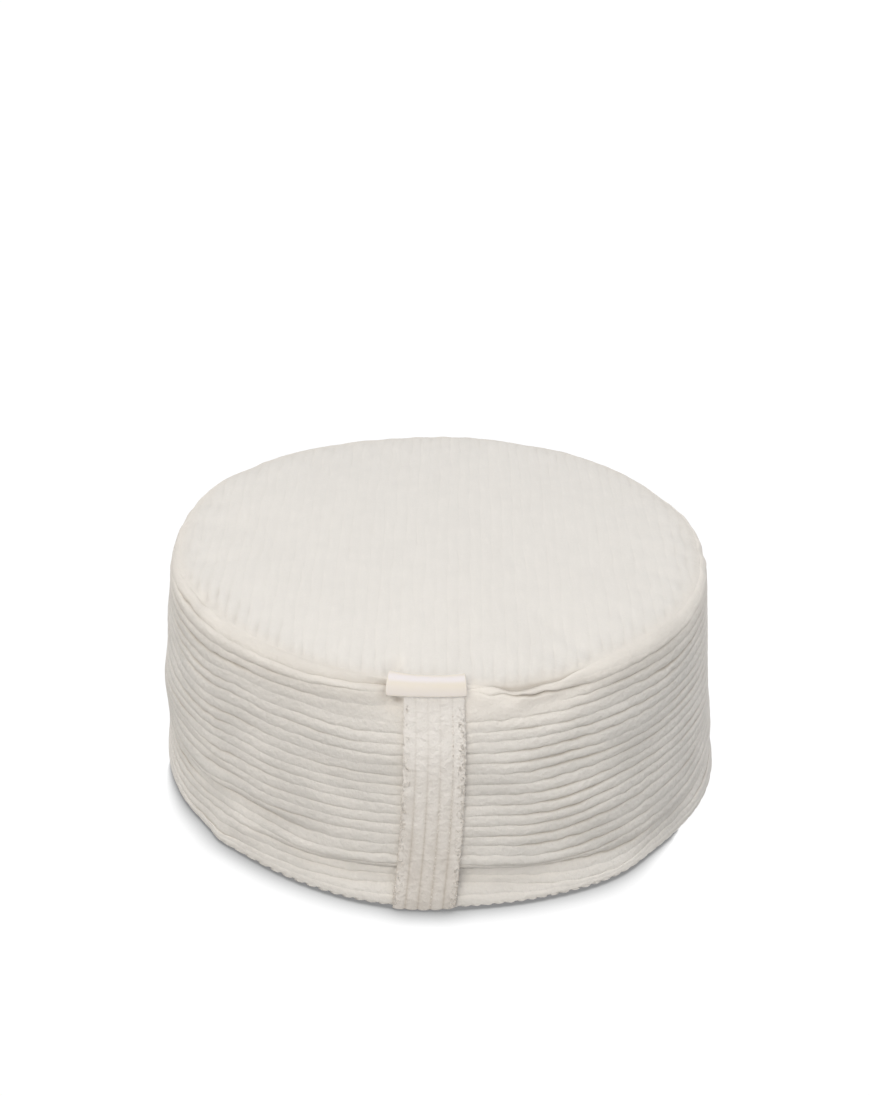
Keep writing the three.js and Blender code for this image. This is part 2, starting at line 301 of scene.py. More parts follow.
def top_base(x, y):
    """Points of the top panel over the plane: a parabola for the crown, and the shoulder's circle outside
    it."""
    radius = np.hypot(x, y)
    angle = np.degrees(np.arctan2(x, -y))
    outside = np.clip(radius - TOP_RADIUS, 0, SHOULDER_ROLL)
    rolled = SHOULDER_HEIGHT + np.sqrt(SHOULDER_ROLL**2 - outside**2)
    crown = CROWN_RISE * np.maximum(0, 1 - (radius / TOP_RADIUS) ** 2)
    return place(angle, radius, rolled + crown)


def ripple(seed, turns_round, length, turns, pitch, count=18):
    """Sum of seeded sine waves over a share of a turn and a length in millimetres. Each has a whole number of
    waves round the turn, up to `turns`, and none along the length is shorter than `pitch`. Usual size 1."""
    draw = np.random.default_rng(seed)
    total = 0
    for _ in range(count):
        waves = draw.integers(-turns, turns + 1)
        steep = draw.uniform(-1, 1) / pitch
        phase = draw.uniform()
        total = total + np.sin(2 * np.pi * (waves * turns_round + steep * length + phase))
    return total * np.sqrt(2 / count)


_, front_length = side_base(np.array([0.0]), np.ones((1, 1)))
print("wall", round(float(front_length[0]), 1), "mm from seam to seam at the front")

# %% [markdown]
# ## Filling the cover
#
# Filling pushes the cloth out from inside, and spare cloth along a seam goes into soft waves. That is what a
# cloth simulation does well: a coarse cover, held at its two seams and cut a little too large, is blown up
# by a light pressure for 20 frames. Only what differs round the cushion is kept, and no point moves far,
# because the sizes above already hold the even swell.

# %% Blow up a coarse cover
COVER_COLUMNS = 180
COVER_ROWS = 30
COVER_RINGS = 24
SPARE_CLOTH = 0.009
PRESSURE = 4
FRAMES = 20
FARTHEST = 5


def grid_faces(rows, columns, start=0, closed=False):
    """Corners of the quads between neighbours in a grid whose vertices are numbered row by row."""
    i = np.arange(rows - 1)[:, None]
    j = np.arange(columns if closed else columns - 1)[None, :]
    k = (j + 1) % columns
    quads = np.stack(np.broadcast_arrays(
        i * columns + j, i * columns + k, (i + 1) * columns + k, (i + 1) * columns + j), axis=-1)
    return start + quads.reshape(-1, 4)


def new_object(name, points, faces):
    """An object at the origin with smooth faces, its points given in millimetres."""
    mesh = bpy.data.meshes.new(name)
    mesh.from_pydata((np.asarray(points).reshape(-1, 3) * MM).tolist(), [], faces)
    mesh.polygons.foreach_set("use_smooth", np.ones(len(mesh.polygons), bool))
    mesh.update()
    made = bpy.data.objects.new(name, mesh)
    bpy.context.scene.collection.objects.link(made)
    return made


def settled(cover, held):
    """Where the cover's points come to rest, in millimetres, after the pressure has worked for all frames."""
    group = cover.vertex_groups.new(name="held")
    group.add(held.tolist(), 1.0, "REPLACE")
    cloth = cover.modifiers.new("filling", "CLOTH")
    cloth.settings.vertex_group_mass = "held"
    cloth.settings.use_pressure = True
    cloth.settings.uniform_pressure_force = PRESSURE
    cloth.settings.shrink_min = -SPARE_CLOTH
    cloth.settings.effector_weights.gravity = 0
    cloth.point_cache.frame_start = 1
    cloth.point_cache.frame_end = FRAMES
    for now in range(1, FRAMES + 1):
        bpy.context.scene.frame_set(now)
    shaped = cover.evaluated_get(bpy.context.evaluated_depsgraph_get())
    at = np.empty(3 * len(cover.data.vertices), np.float32)
    shaped.data.vertices.foreach_get("co", at)
    bpy.context.scene.frame_set(1)
    return at.reshape(-1, 3).astype(float) / MM


cover_angle = np.linspace(-180, 180, COVER_COLUMNS, endpoint=False)
cover_share = np.linspace(0, 1, COVER_ROWS)[:, None] + 0 * cover_angle
cover_side, _ = side_base(cover_angle, cover_share, creased=False)
inward = np.linspace(1, 0, COVER_RINGS)[1:, None] * seam_radius(cover_angle)
cover_top = top_base(inward * np.sin(np.radians(cover_angle)), -inward * np.cos(np.radians(cover_angle)))
cover_points = np.concatenate([cover_side, cover_top])
swell = np.zeros_like(cover_points)
cover = new_object("cover_to_fill", cover_points,
                   grid_faces(len(cover_points) - 1, COVER_COLUMNS, closed=True).tolist())
ring = np.arange(COVER_COLUMNS)
at_rest = np.concatenate([ring, ring + (COVER_ROWS - 1) * COVER_COLUMNS])
filled = settled(cover, at_rest).reshape(cover_points.shape)
swell = filled - cover_points
bpy.data.objects.remove(cover)
print("cloth moved at most", round(float(np.linalg.norm(swell, axis=-1).max()), 2), "mm")

# %% Keep what differs round the cushion
a = np.radians(cover_angle)
outward = np.stack([np.sin(a), -np.cos(a), 0 * a], axis=-1)
out_swell = (swell * outward).sum(axis=-1)
out_swell = out_swell - out_swell.mean(axis=1, keepdims=True)
up_swell = swell[..., 2] - swell[..., 2].mean(axis=1, keepdims=True)
swell = out_swell[..., None] * outward + up_swell[..., None] * np.array([0, 0, 1])
distance = np.linalg.norm(swell, axis=-1, keepdims=True) + 1e-9
swell = swell * FARTHEST * np.tanh(distance / FARTHEST) / distance
side_swell, top_swell = swell[:COVER_ROWS], swell[COVER_ROWS - 1:]


def swell_at(field, row, angle):
    """A coarse field between its points, by cubic B-splines: each place takes the 16 points around it,
    weighted by how near they are in rows and in columns."""
    column = (angle + 180) * field.shape[1] / 360
    low_row = np.floor(row).astype(int)
    low_column = np.floor(column).astype(int)

    def weights(t):
        return [(1 - t) ** 3 / 6, (3 * t**3 - 6 * t**2 + 4) / 6,
                (-3 * t**3 + 3 * t**2 + 3 * t + 1) / 6, t**3 / 6]

    total = 0
    for i, by_row in enumerate(weights(row - low_row)):
        for j, by_column in enumerate(weights(column - low_column)):
            rows = np.clip(low_row + i - 1, 0, field.shape[0] - 1)
            columns = (low_column + j - 1) % field.shape[1]
            total = total + (by_row * by_column)[..., None] * field[rows, columns]
    return total


print("kept swell, mean size", round(float(np.linalg.norm(swell, axis=-1).mean()), 2), "mm")

# %% [markdown]
# ## The side band's wales
#
# Corduroy is woven with loops that are cut open, so that rows of pile, the wales, stand up between bare
# grooves. On the side band, 22 of them run round the cushion, and the turned edge inside the top seam folds
# the uppermost along one more line. A wale is a soft ridge with a steep, narrow groove on each side, so its
# rows of points are packed close at the groove and loose over the crest. The wales sag where the filling
# does, so a table gives the heights of some grooves, and the rest lie evenly between those.

# %% Where the grooves of the side band lie
# Twenty-two wales, and above them the fold line of the seam's turned edge.
SIDE_WALES = 23
# Heights of some grooves over the floor, numbered from the base seam up. The fourth lies in the long crease
# at the front.
GROOVES = {
    "angle": [-180, -130, -95, -62, -51, -42, -34, -27, -18, -9, 8, 20, 26, 33, 40, 49, 70, 110, 180],
    "groove 2": [11, 13, 10, 6.5, 6.5, 9, 10.5, 11, 12.5, 15.5, 16.5, 11, 9, 7.5, 7.5, 9, 11, 13, 11],
    "groove 4": [24, 26, 22, 17, 19, 21.5, 21.5, 20, 21.5, 23.2, 23.7, 21, 20, 19, 18, 20.5, 24, 26, 24],
    "groove 5": [30, 32, 28, 22, 24, 27, 26.5, 24.5, 26, 29, 30.5, 26, 24.5, 24, 26, 28, 30, 32, 30],
    "groove 7": [43, 45.5, 41, 32, 33.5, 38, 38, 38.5, 40.5, 42.5, 43, 39, 38.5, 39, 40, 42.5, 43.5, 45, 43],
    "groove 9": [56, 59, 55, 47.5, 49, 53, 52.5, 54, 54.5, 56, 55.7, 52.5, 52.5, 54.5, 55, 57, 57, 58, 56],
    "groove 14": [89, 92, 88, 80.5, 81.5, 85.5, 85.7, 86, 86, 86.5, 89.7, 87.5, 88, 87.5, 88.5, 88.5, 89, 89,
                  89],
    "groove 19": [122, 124, 121, 116.5, 117, 121, 120.5, 121.3, 120, 121, 122.5, 122.5, 122, 122.5, 122.5,
                  121.5, 122, 122, 122],
    "groove 21": [136, 137, 135, 131, 132, 133.5, 134.5, 135, 137, 138, 139.5, 135.5, 134.5, 134.5, 135,
                  135.5, 136, 135, 136],
    "groove 22": [140, 140.5, 139.5, 140, 139.6, 140, 140.5, 140.7, 142, 143, 141.3, 138.5, 139, 139.5, 140,
                  140, 140, 139, 140],
}


def groove_heights(angle):
    """Heights of all grooves, seams included: even steps between those in the table."""
    named = [name for name in GROOVES if name != "angle"]
    known = np.array([0, *(int(name.split()[1]) for name in named), SIDE_WALES])
    heights = np.array([BASE_SEAM + 0 * angle, *(along(GROOVES, name, angle, closed=True) for name in named),
                        shoulder_point(seam_roll(angle))[1]])
    number = np.arange(SIDE_WALES + 1)
    high = np.clip(np.searchsorted(known, number, side="right"), 1, len(known) - 1)
    t = ((number - known[high - 1]) / (known[high] - known[high - 1]))[:, None]
    return (1 - t) * heights[high - 1] + t * heights[high]


front_grooves = groove_heights(np.array([0.0]))[:, 0]
print("wales at the front, mean height", round(float(np.diff(front_grooves).mean()), 2), "mm")

# %% [markdown]
# ## Depth of the grooves
#
# The grooves are not even either. The cloth is stretched over the foot, and the seam's turned edge fills the
# grooves under it or folds them deep. More tables say how deep each of these grooves, the wales as a whole
# and the top seam are round the cushion. The wales could come from a bump in the material, but their outline
# shows at the rim and the grooves hold real shadows, so they are shape.

# %% How deep the grooves are
SIDE_WALE_DEPTH = 0.78
# How deep the lowest three and the topmost four grooves are beside the others.
GROOVE_SHARES = {
    "angle": [-75, -62, -51, -42, -34, -27, -18, -9, 8, 14, 20, 26, 33, 40, 49, 62],
    "groove 1": [0.5, 0.1, 0.1, 0.1, 0.1, 0.1, 0.4, 0.9, 0.6, 0.3, 0.1, 0, 0, 0, 0, 0.3],
    "groove 2": [1, 0.8, 0.8, 0.8, 0.7, 0.8, 0.9, 0.9, 0.55, 0.5, 0.5, 0.5, 0.5, 0.6, 0.8, 1],
    "groove 3": [1, 0.8, 0.8, 0.8, 0.7, 0.8, 0.9, 0.9, 0.55, 0.45, 0.4, 0.45, 0.5, 0.6, 0.8, 1],
    "groove 19": [1, 1, 0.8, 0.4, 0.7, 0.7, 0.5, 0.2, 0.9, 0.7, 0.5, 0.6, 0.8, 0.8, 1.5, 1],
    "groove 20": [1, 1.4, 1.8, 2, 0.9, 1, 0.5, 0.1, 0.1, 0, 0.05, 0.8, 0.9, 1, 1, 1],
    "groove 21": [1, 0.8, 0.8, 0.9, 1.2, 0.7, 1, 0.1, 0.2, 2.3, 1.9, 1.3, 1, 1.1, 1.2, 1],
    "groove 22": [0.3, 0.9, 1, 0.9, 0.8, 0.8, 1.6, 2.6, 0.4, 0, 0, 0, 0, 0, 0, 0],
}
# How strongly the wales stand out round the cushion, and how deep the top seam lies between them.
RELIEF = {
    "angle": [-180, -90, -60, -42, -27, -18, -9, 8, 14, 20, 26, 33, 40, 49, 60, 100, 180],
    "relief": [0.9, 1, 1.15, 0.85, 0.75, 0.7, 0.62, 0.65, 0.85, 1.35, 1.4, 1.25, 1.05, 1, 1.2, 1, 0.9],
}
SEAM_DEPTH = {
    "angle": [-180, -80, -66, -57, -48, -30, -18, -9, 6, 10, 14.5, 17, 20, 23, 26, 30, 35, 50, 64, 78, 110,
              180],
    "sink": [0.2, 0.3, 0.8, 0.8, 0.3, 0.1, 0.2, 0.5, 0.9, 1.1, 2.2, 1.6, 2.3, 1.8, 1.8, 1.1, 0.4, 0.1, 0.2,
             0.3, 0.3, 0.2],
}
# How deep the uppermost wale folds in along its own line, on its way to the tab.
RIM_FOLD = {"angle": [-75, -60, -45, -30, -22, -17, -12, -8, -3],
            "depth": [0, 0.4, 0.5, 0.7, 0.9, 1.3, 1.8, 1.6, 0]}
# How far the fold reaches above and below its line, and how near the seam it fades.
FOLD_ABOVE = 4
FOLD_BELOW = 2.2
FOLD_ENDS = 1.5
print("top seam sunk by", min(SEAM_DEPTH["sink"]), "to", max(SEAM_DEPTH["sink"]), "mm")

# %% [markdown]
# ## Shaping the side band
#
# The band is laid out first: each wale gets its rows, and the edges between wales drift and wobble as cut
# pile does, most of all where the seam is pinched. Then every point is pushed in, square to the cloth, by all
# that sinks it there: its groove, puckers, dents where the filling gives way, lumps under the seam, the fold.

# %% Lay out the rows of the side band
SIDE_COLUMNS = 400
WALE_STEPS = np.array([0, 0.05, 0.14, 0.3, 0.5, 0.7, 0.86, 0.95])
# How far the grooves drift and wobble, and where the pinch makes the uppermost wobble more.
DRIFT = 0.3
WOBBLE = 0.2
PINCH_AT = 19
PINCH_WIDTH = 9
PINCH_WOBBLE = 2.5
PINCHED_WALES = 4

angle = np.linspace(-180, 180, SIDE_COLUMNS, endpoint=False)
round_share = angle / 360
edge_number = np.arange(SIDE_WALES + 1)[:, None]
drift = DRIFT * ripple(11, round_share, edge_number, turns=6, pitch=2.4)
wobble = WOBBLE * ripple(12, round_share, edge_number, turns=90, pitch=1.6, count=60)
pinched = (edge_number > SIDE_WALES - PINCHED_WALES) * np.exp(-((angle - PINCH_AT) / PINCH_WIDTH) ** 2)
wobble = wobble * (1 + PINCH_WOBBLE * pinched)
free = (edge_number > 0) & (edge_number < SIDE_WALES)
wale_edges = share_at(angle, groove_heights(angle) + free * (drift + wobble))
low, wide = wale_edges[:-1, None], np.diff(wale_edges, axis=0)[:, None]
share = np.concatenate([(low + wide * WALE_STEPS[:, None]).reshape(-1, SIDE_COLUMNS), wale_edges[-1:]])
across = np.append(np.tile(WALE_STEPS, SIDE_WALES), 1.0)[:, None]
# A row halfway up a wale counts to the groove below it.
wale_number = np.repeat(np.arange(SIDE_WALES), len(WALE_STEPS))
nearest_edge = np.append(wale_number + (np.tile(WALE_STEPS, SIDE_WALES) > 0.5), SIDE_WALES)[:, None]
print("side band", share.shape[0], "rows by", share.shape[1], "columns")

# %% Push the side band in
CREST_FLATNESS = 2.3
GROOVE_FLATNESS = 9
SHARPNESS = 0.3
BASE_GROOVE = 0.35
# How uneven the wales are along themselves and from one to the next, and the least relief that is left.
UNEVEN_ALONG = 0.12
UNEVEN_WALES = 0.25
LEAST_RELIEF = 0.2
DENTS = 0.4
WELT_LUMPS = 0.22
LUMPS_REACH = 10


def crest(f, sharp=0):
    """Height of a wale from 0 in the groove to 1 on the crest, at a share f across it: a squared-off arch, of
    which a share can be a flatter one with a sharp groove."""
    from_crest = np.abs(2 * f - 1)
    return np.maximum(0, 1 - (1 - sharp) * from_crest**CREST_FLATNESS - sharp * from_crest**GROOVE_FLATNESS)


def normals(grid, closed):
    """Directions square to a grid of points: the cross product of the steps along its columns and rows."""
    along_rows = np.gradient(grid, axis=0)
    if closed:
        along_columns = np.roll(grid, -1, axis=1) - np.roll(grid, 1, axis=1)
    else:
        along_columns = np.gradient(grid, axis=1)
    square = np.cross(along_columns, along_rows)
    return square / np.maximum(np.linalg.norm(square, axis=-1, keepdims=True), 1e-12)


side, side_length = side_base(angle, share)
side = side + swell_at(side_swell, share * (COVER_ROWS - 1), angle + 0 * share)
side_out = normals(side, closed=True)
from_seam = (1 - share) * side_length
kept = np.where(nearest_edge == 0, BASE_GROOVE, 1.0)
for name in list(GROOVE_SHARES)[1:]:
    kept = np.where(nearest_edge == int(name.split()[1]), along(GROOVE_SHARES, name, angle), kept)
relief = along(RELIEF, "relief", angle, closed=True) * (
    1 + UNEVEN_ALONG * ripple(13, round_share, share * side_length, turns=60, pitch=9)
    + UNEVEN_WALES * ripple(15, round_share, nearest_edge, turns=12, pitch=1.3, count=40))
depth = SIDE_WALE_DEPTH * np.maximum(LEAST_RELIEF, relief)
depth = np.where(nearest_edge == SIDE_WALES, along(SEAM_DEPTH, "sink", angle, closed=True), depth * kept)
side_groove = depth * (1 - crest(across, SHARPNESS))
dents = DENTS * np.sin(np.pi * share) * ripple(14, round_share, share * side_length, turns=16, pitch=38)
lumps = WELT_LUMPS * ripple(16, round_share, from_seam, turns=60, pitch=14)
lumps = lumps * np.exp(-(from_seam / LUMPS_REACH) ** 2)
over_fold = (share - wale_edges[-2]) * side_length
fold = along(RIM_FOLD, "depth", angle) * (1 - np.exp(-(from_seam / FOLD_ENDS) ** 2)) * np.exp(
    -(over_fold / np.where(over_fold > 0, FOLD_ABOVE, FOLD_BELOW)) ** 2)
side_sunk = side_groove + pucker_depth(angle, from_seam) + dents + lumps + fold
side = side - side_sunk[..., None] * side_out
print("side band sunk by up to", round(float(side_sunk.max()), 2), "mm")

# %% Where the ground of the side band shows, with painted shade
# A seam sunk less than this gets no ground colour, and a deeper one gets it as painted shade in its slit.
SEAM_PALE = 0.7
SEAM_REACH = 1.2
# Painted shade where the seam is pinched beside the tab, and a little to its left: the ground colour is mixed
# in and the pile is drawn darker, where shade falls into the pinch.
PINCH_PAINTED_SHADE = {"angle": [-38, -28, -12, -4, 6, 10, 14, 18, 22, 26, 30, 36],
         "dark": [0, 0.35, 0.35, 0, 0, 0.4, 0.9, 1, 0.8, 0.6, 0.4, 0]}
# Painted shade in the pocket under the tab: the ground colour is mixed in where the pocket lies in shadow.
POCKET_PAINTED_SHADE = 1.4
POCKET_AT = -7.2
POCKET_DOWN = 13
POCKET_WIDTH = 1.4
POCKET_HEIGHT = 3
side_groove = np.where(nearest_edge == SIDE_WALES, np.maximum(0, side_groove - SEAM_PALE), side_groove)
side_groove = side_groove + along(PINCH_PAINTED_SHADE, "dark", angle) * np.exp(-(from_seam / SEAM_REACH) ** 2)
out_of_pocket = ((angle - POCKET_AT) / POCKET_WIDTH) ** 2 + ((from_seam - POCKET_DOWN) / POCKET_HEIGHT) ** 2
side_groove = side_groove + POCKET_PAINTED_SHADE * np.exp(-out_of_pocket)
print("ground shows fully at", int((side_groove >= 1).sum()), "points of the side band")

# %% [markdown]
# ## The top panel's wales
#
# On the top the wales run straight from front to back, and sitting has pressed them nearly flat. A grid
# whose columns are the wales' own lines keeps each groove sharp: every station across the panel is one
# line from the front edge to the back edge, with rows packed towards both ends, where the panel rolls down.

# %% Lay out the top panel
TOP_WALE_PITCH = 6.7
TOP_STEPS = np.array([0, 0.08, 0.26, 0.5, 0.74, 0.92])
TOP_ROWS = 64
TOP_EDGE = 0.7
ROW_CROWDING = 0.86
LAST_STATIONS = np.array([0.982, 0.987, 0.991, 0.9945, 0.997])
CLEAR_OF_ENDS = 0.5


def stations_across(reach_left, reach_right, pitch, steps):
    """Places across a panel: the steps of each whole wale, then a few close to each end."""
    count = int(max(reach_left, reach_right) / pitch) + 1
    places = (np.arange(-count, count + 1)[:, None] + steps).ravel() * pitch
    first = CLEAR_OF_ENDS - LAST_STATIONS[0] * reach_left
    last = LAST_STATIONS[0] * reach_right - CLEAR_OF_ENDS
    inner = places[(places > first) & (places < last)]
    return np.concatenate([-LAST_STATIONS[::-1] * reach_left, inner, LAST_STATIONS * reach_right])


def panel_grid(stations, edge_radius, rows):
    """A grid over a round panel: stations across it, and on each a line from the front to the back edge. The
    ends are found by going back and forth between an end's angle and the edge's radius there."""
    ends = []
    for side_of in (0, 1):
        at = np.zeros_like(stations)
        for _ in range(25):
            front = np.degrees(np.arcsin(np.clip(stations / edge_radius(turn(at)), -1, 1)))
            at = 180 - front if side_of else front
        ends.append(-edge_radius(turn(at)) * np.cos(np.radians(at)))
    even = np.linspace(0, 1, rows)
    eased = ROW_CROWDING * (1 - np.cos(np.pi * even)) / 2 + (1 - ROW_CROWDING) * even
    y = ends[0][:, None] + (ends[1] - ends[0])[:, None] * eased
    return stations[:, None] + 0 * y, y


def top_edge(at):
    """Radius where the top panel goes down into its seam."""
    return seam_radius(at) - TOP_EDGE


top_stations = stations_across(float(top_edge(-90.0)), float(top_edge(90.0)), TOP_WALE_PITCH, TOP_STEPS)
top_x, top_y = panel_grid(top_stations, top_edge, TOP_ROWS)
top_angle = np.degrees(np.arctan2(top_x, -top_y))
top_radius = np.hypot(top_x, top_y)
top_from_seam = seam_radius(top_angle) - top_radius
top = top_base(top_x, top_y)
top_ring = (1 - top_radius / seam_radius(top_angle)) * (COVER_RINGS - 1)
top = top + swell_at(top_swell, top_ring, top_angle)
top_out = normals(top, closed=False)
top_out = top_out * np.sign(top_out[..., 2:])
print("top panel", top.shape[0], "stations by", top.shape[1], "rows")

# %% Press the top panel's wales in
TOP_WALE_DEPTH = 0.27
TOP_SWAY = 0.09
SWAY_FROM = 2
EDGE_SOFTNESS = 5.5
PRESSED_EDGE = 2.5
EDGE_REACH = 20
# How much of the ground colour shows in the top's grooves, where it is partly painted shade, and how far in
# the painted shade of the pinched seam reaches.
TOP_GROUND = 0.7
PINCH_IN = 2
# How much more the wales show near the seam, where nobody sits on them.
EDGE_WALES = {
    "angle": [-180, -100, -72, -60, -46, -30, 0, 30, 60, 90, 180],
    "more": [0.7, 0.7, 0.9, 2, 1.7, 1.3, 1.4, 1.2, 0.9, 1, 0.7],
}
across_span = 2 * TOP_RADIUS
sway = TOP_SWAY * ripple(21, top_x / across_span, top_y, turns=26, pitch=40)
top_across = (top_x / TOP_WALE_PITCH + sway * (top_from_seam > SWAY_FROM)) % 1.0
pressed = 1 - np.exp(-(top_from_seam / PRESSED_EDGE) ** 2)
to_edge = np.exp(-(top_from_seam / EDGE_REACH) ** 2)
near_edge = along(EDGE_WALES, "more", top_angle, closed=True) * to_edge
depth = TOP_WALE_DEPTH * pressed * (1 + near_edge)
depth = depth * (1 + (0.3 - 0.15 * to_edge) * ripple(22, top_x / across_span, top_y, turns=30, pitch=14))
# Near the seam the wales are soft waves, and further in they have sharp grooves.
top_groove = (1 - to_edge) * (1 - crest(top_across)) + to_edge * (1 + np.cos(2 * np.pi * top_across)) / 2
top_seam_sink = along(SEAM_DEPTH, "sink", top_angle, closed=True)
top_seam_sink = top_seam_sink * np.exp(-(top_from_seam / EDGE_SOFTNESS) ** 2)
top_sunk = depth * top_groove + pucker_depth(top_angle, top_from_seam) + top_seam_sink
top = top - top_sunk[..., None] * top_out
# Painted shade in the deep top seam: the ground colour is mixed in along it.
seam_ground = np.maximum(0, top_seam_sink - SEAM_PALE) * np.exp(-(top_from_seam / SEAM_REACH) ** 2) / 3
top_groove = TOP_GROUND * top_groove * depth + seam_ground
# Painted shade of the pinched seam on the top panel.
top_groove = top_groove + along(PINCH_PAINTED_SHADE, "dark", top_angle) * np.exp(-(top_from_seam / PINCH_IN) ** 2)
print("top panel sunk by up to", round(float(top_sunk.max()), 2), "mm")

# %% [markdown]
# ## The base panel
#
# The base is cut from the same cloth, turned a little against the top. It rolls from the base seam down to
# the floor, so the ends of its wales show as small scallops along the bottom edge, and it is flat where the
# cushion stands.

# %% Wales of the base panel
BASE_WALE_DEPTH = 2
# How much of that shows round the edge: the cloth is drawn smooth at the sides.
BASE_SCALLOPS = {"angle": [-180, -120, -60, -40, -30, -15, 15, 32, 42, 60, 120, 180],
                 "share": [0.6, 0.6, 0.15, 0.3, 0.8, 1, 1, 0.8, 0.3, 0.15, 0.6, 0.6]}
BASE_STEPS = np.array([0, 0.22, 0.5, 0.78])
BASE_ROWS = 20
BASE_TURN = 8.5
BASE_EDGE = 0.5
ROLL_ARC = BASE_SEAM * np.pi / 2


def base_edge(at):
    """Radius of the base panel's edge when its roll is laid flat."""
    return wall_radius(turn(at + BASE_TURN), BASE_SEAM) - BASE_SEAM + ROLL_ARC - BASE_EDGE


base_stations = stations_across(float(base_edge(-90.0)), float(base_edge(90.0)), TOP_WALE_PITCH, BASE_STEPS)
base_x, base_y = panel_grid(base_stations, base_edge, BASE_ROWS)
flat_radius = np.hypot(base_x, base_y)
base_angle = turn(np.degrees(np.arctan2(base_x, -base_y)) + BASE_TURN)
edge_there = wall_radius(base_angle, BASE_SEAM)
in_from_edge = edge_there - BASE_SEAM + ROLL_ARC - flat_radius
rolled = np.clip(in_from_edge / BASE_SEAM, 0, np.pi / 2)
base_sunk = BASE_WALE_DEPTH * along(BASE_SCALLOPS, "share", base_angle, closed=True)
base_sunk = base_sunk * (1 - crest((base_x / TOP_WALE_PITCH) % 1.0, SHARPNESS))
reach = BASE_SEAM - base_sunk
base_radius = edge_there - BASE_SEAM + reach * np.cos(rolled) - np.maximum(0, in_from_edge - ROLL_ARC)
base = place(base_angle, base_radius, BASE_SEAM - reach * np.sin(rolled))
base_groove = base_sunk / BASE_WALE_DEPTH
print("base panel", base.shape[0], "stations by", base.shape[1], "rows, lowest point",
      round(float(base[..., 2].min()), 3), "mm")

# %% [markdown]
# ## Sewing the panels together
#
# The three grids have unlike edges, so each seam is a strip of triangles between two closed loops. Both
# loops are sorted by their angle, and each edge of one loop takes as its third corner the point of the other
# loop that has just been passed. The strips lie at the bottom of the seams' grooves, where they don't show.

# %% Sew the cover into one closed mesh


def rim(numbers):
    """Vertex numbers round the edge of a grid, each once."""
    return np.concatenate([numbers[:, 0], numbers[-1, 1:], numbers[-2::-1, -1], numbers[0, -2:0:-1]])


def sew(points, first, second, centre):
    """Triangles between two closed loops of vertices, by the angle of their points about a centre."""
    loops, ways = [], []
    for loop in (first, second):
        way = np.arctan2(points[loop, 1], points[loop, 0] - centre) % (2 * np.pi)
        order = np.argsort(way)
        loops.append(loop[order])
        ways.append(np.append(way[order][1:], way[order][0] + 2 * np.pi))
    (one, two), (one_next, two_next) = loops, ways
    passed_two = two[np.searchsorted(two_next, one_next, side="left") % len(two)]
    passed_one = one[np.searchsorted(one_next, two_next, side="right") % len(one)]
    return np.concatenate([
        np.column_stack([one, np.roll(one, -1), passed_two]),
        np.column_stack([np.roll(two, -1), two, passed_one])])


side_count, top_count = side[..., 0].size, top[..., 0].size
cover_points = np.concatenate([grid.reshape(-1, 3) for grid in (side, top, base)])
top_numbers = side_count + np.arange(top_count).reshape(top.shape[:2])
base_numbers = side_count + top_count + np.arange(base[..., 0].size).reshape(base.shape[:2])
ring = np.arange(SIDE_COLUMNS)
cover_quads = np.concatenate([
    grid_faces(*side.shape[:2], closed=True),
    grid_faces(*top.shape[:2], start=side_count)[:, ::-1],
    grid_faces(*base.shape[:2], start=side_count + top_count)])
top_seam = sew(cover_points, ring + side_count - SIDE_COLUMNS, rim(top_numbers), LEAN)
base_seam = sew(cover_points, ring, rim(base_numbers), 0)[:, ::-1]
cushion = new_object("cushion_cover", cover_points,
                     [*cover_quads.tolist(), *top_seam.tolist(), *base_seam.tolist()])
print("cushion cover:", 2 * len(cover_quads) + len(top_seam) + len(base_seam), "triangles")

# %% [markdown]
# ## How the pile lies, with painted light and shade
#
# Pile looks paler or darker with the way it lies. It stands up on the wall, lies flat on the top, and its
# tone drifts in clouds and strokes. Light and shade are painted into the same numbers: each wale is paler on
# its upper half, places round the cushion are drawn paler or darker, and shade is painted in the pinched seam
# and the pocket under the tab. The tones could be painted on a picture, but one number for each vertex is
# simpler. The material reads four of them: how bare the ground is, which also carries painted shade, the lie
# of the pile with its painted light and shade, how far it stands up, and how warm its tone is, which is a
# little more along the top seam.

# %% The lie of the pile, with painted light and shade
# How pale the pile is on the wall and the top, near the seam, from wale to wale and in clouds and strokes.
SIDE_NAP = -0.22
SEAM_NAP = 0.1
# Painted light: each wale's pile is drawn paler on its upper half and darker on its lower half, where less
# light falls.
WALE_SHADE = 0.3
SIDE_CLOUDS = 0.1
WALE_CLOUDS = 0.06
STROKES = 0.06
TOP_NAP = 0.15
EDGE_NAP = 0.28
TOP_CLOUDS = 0.01
# How far these changes reach from the seam or the floor, and the height and spread of a band low on the wall.
PILE_BLEND = 11
FOOT_PILE = 15
LOW_PILE = 34
LOW_SPREAD = 16
RIM_PILE = 20
PINCH_ROLL = 3
PINCH_SHADE = 6
# Painted light and shade round the cushion: where the wall, the foot, the low band, the rim and the top are
# drawn paler or darker, as the light falls on them.
PAINTED_LIGHT_BY_PLACE = {
    "angle": [-180, -90, -72, -50, -25, -8, 8, 20, 30, 40, 55, 70, 180],
    "wall": [0, 0, -0.2, -0.18, -0.12, 0, 0.08, 0.14, -0.08, -0.32, -0.3, 0, 0],
    "foot": [0, 0, 0, 0, 0, 0, 0.3, 0.45, 0.4, 0.35, 0.1, 0, 0],
    "low": [0, 0, 0, 0, -0.1, -0.1, -0.3, -0.3, -0.15, 0, 0, 0, 0],
    "rim": [0, 0, 0, 0, -0.4, 0, 1, 1, 0.5, 0.15, 0, 0, 0],
    "top": [0, 0, 0, 0, 0.03, 0.12, 0.02, -0.08, -0.02, 0, 0, 0, 0],
}


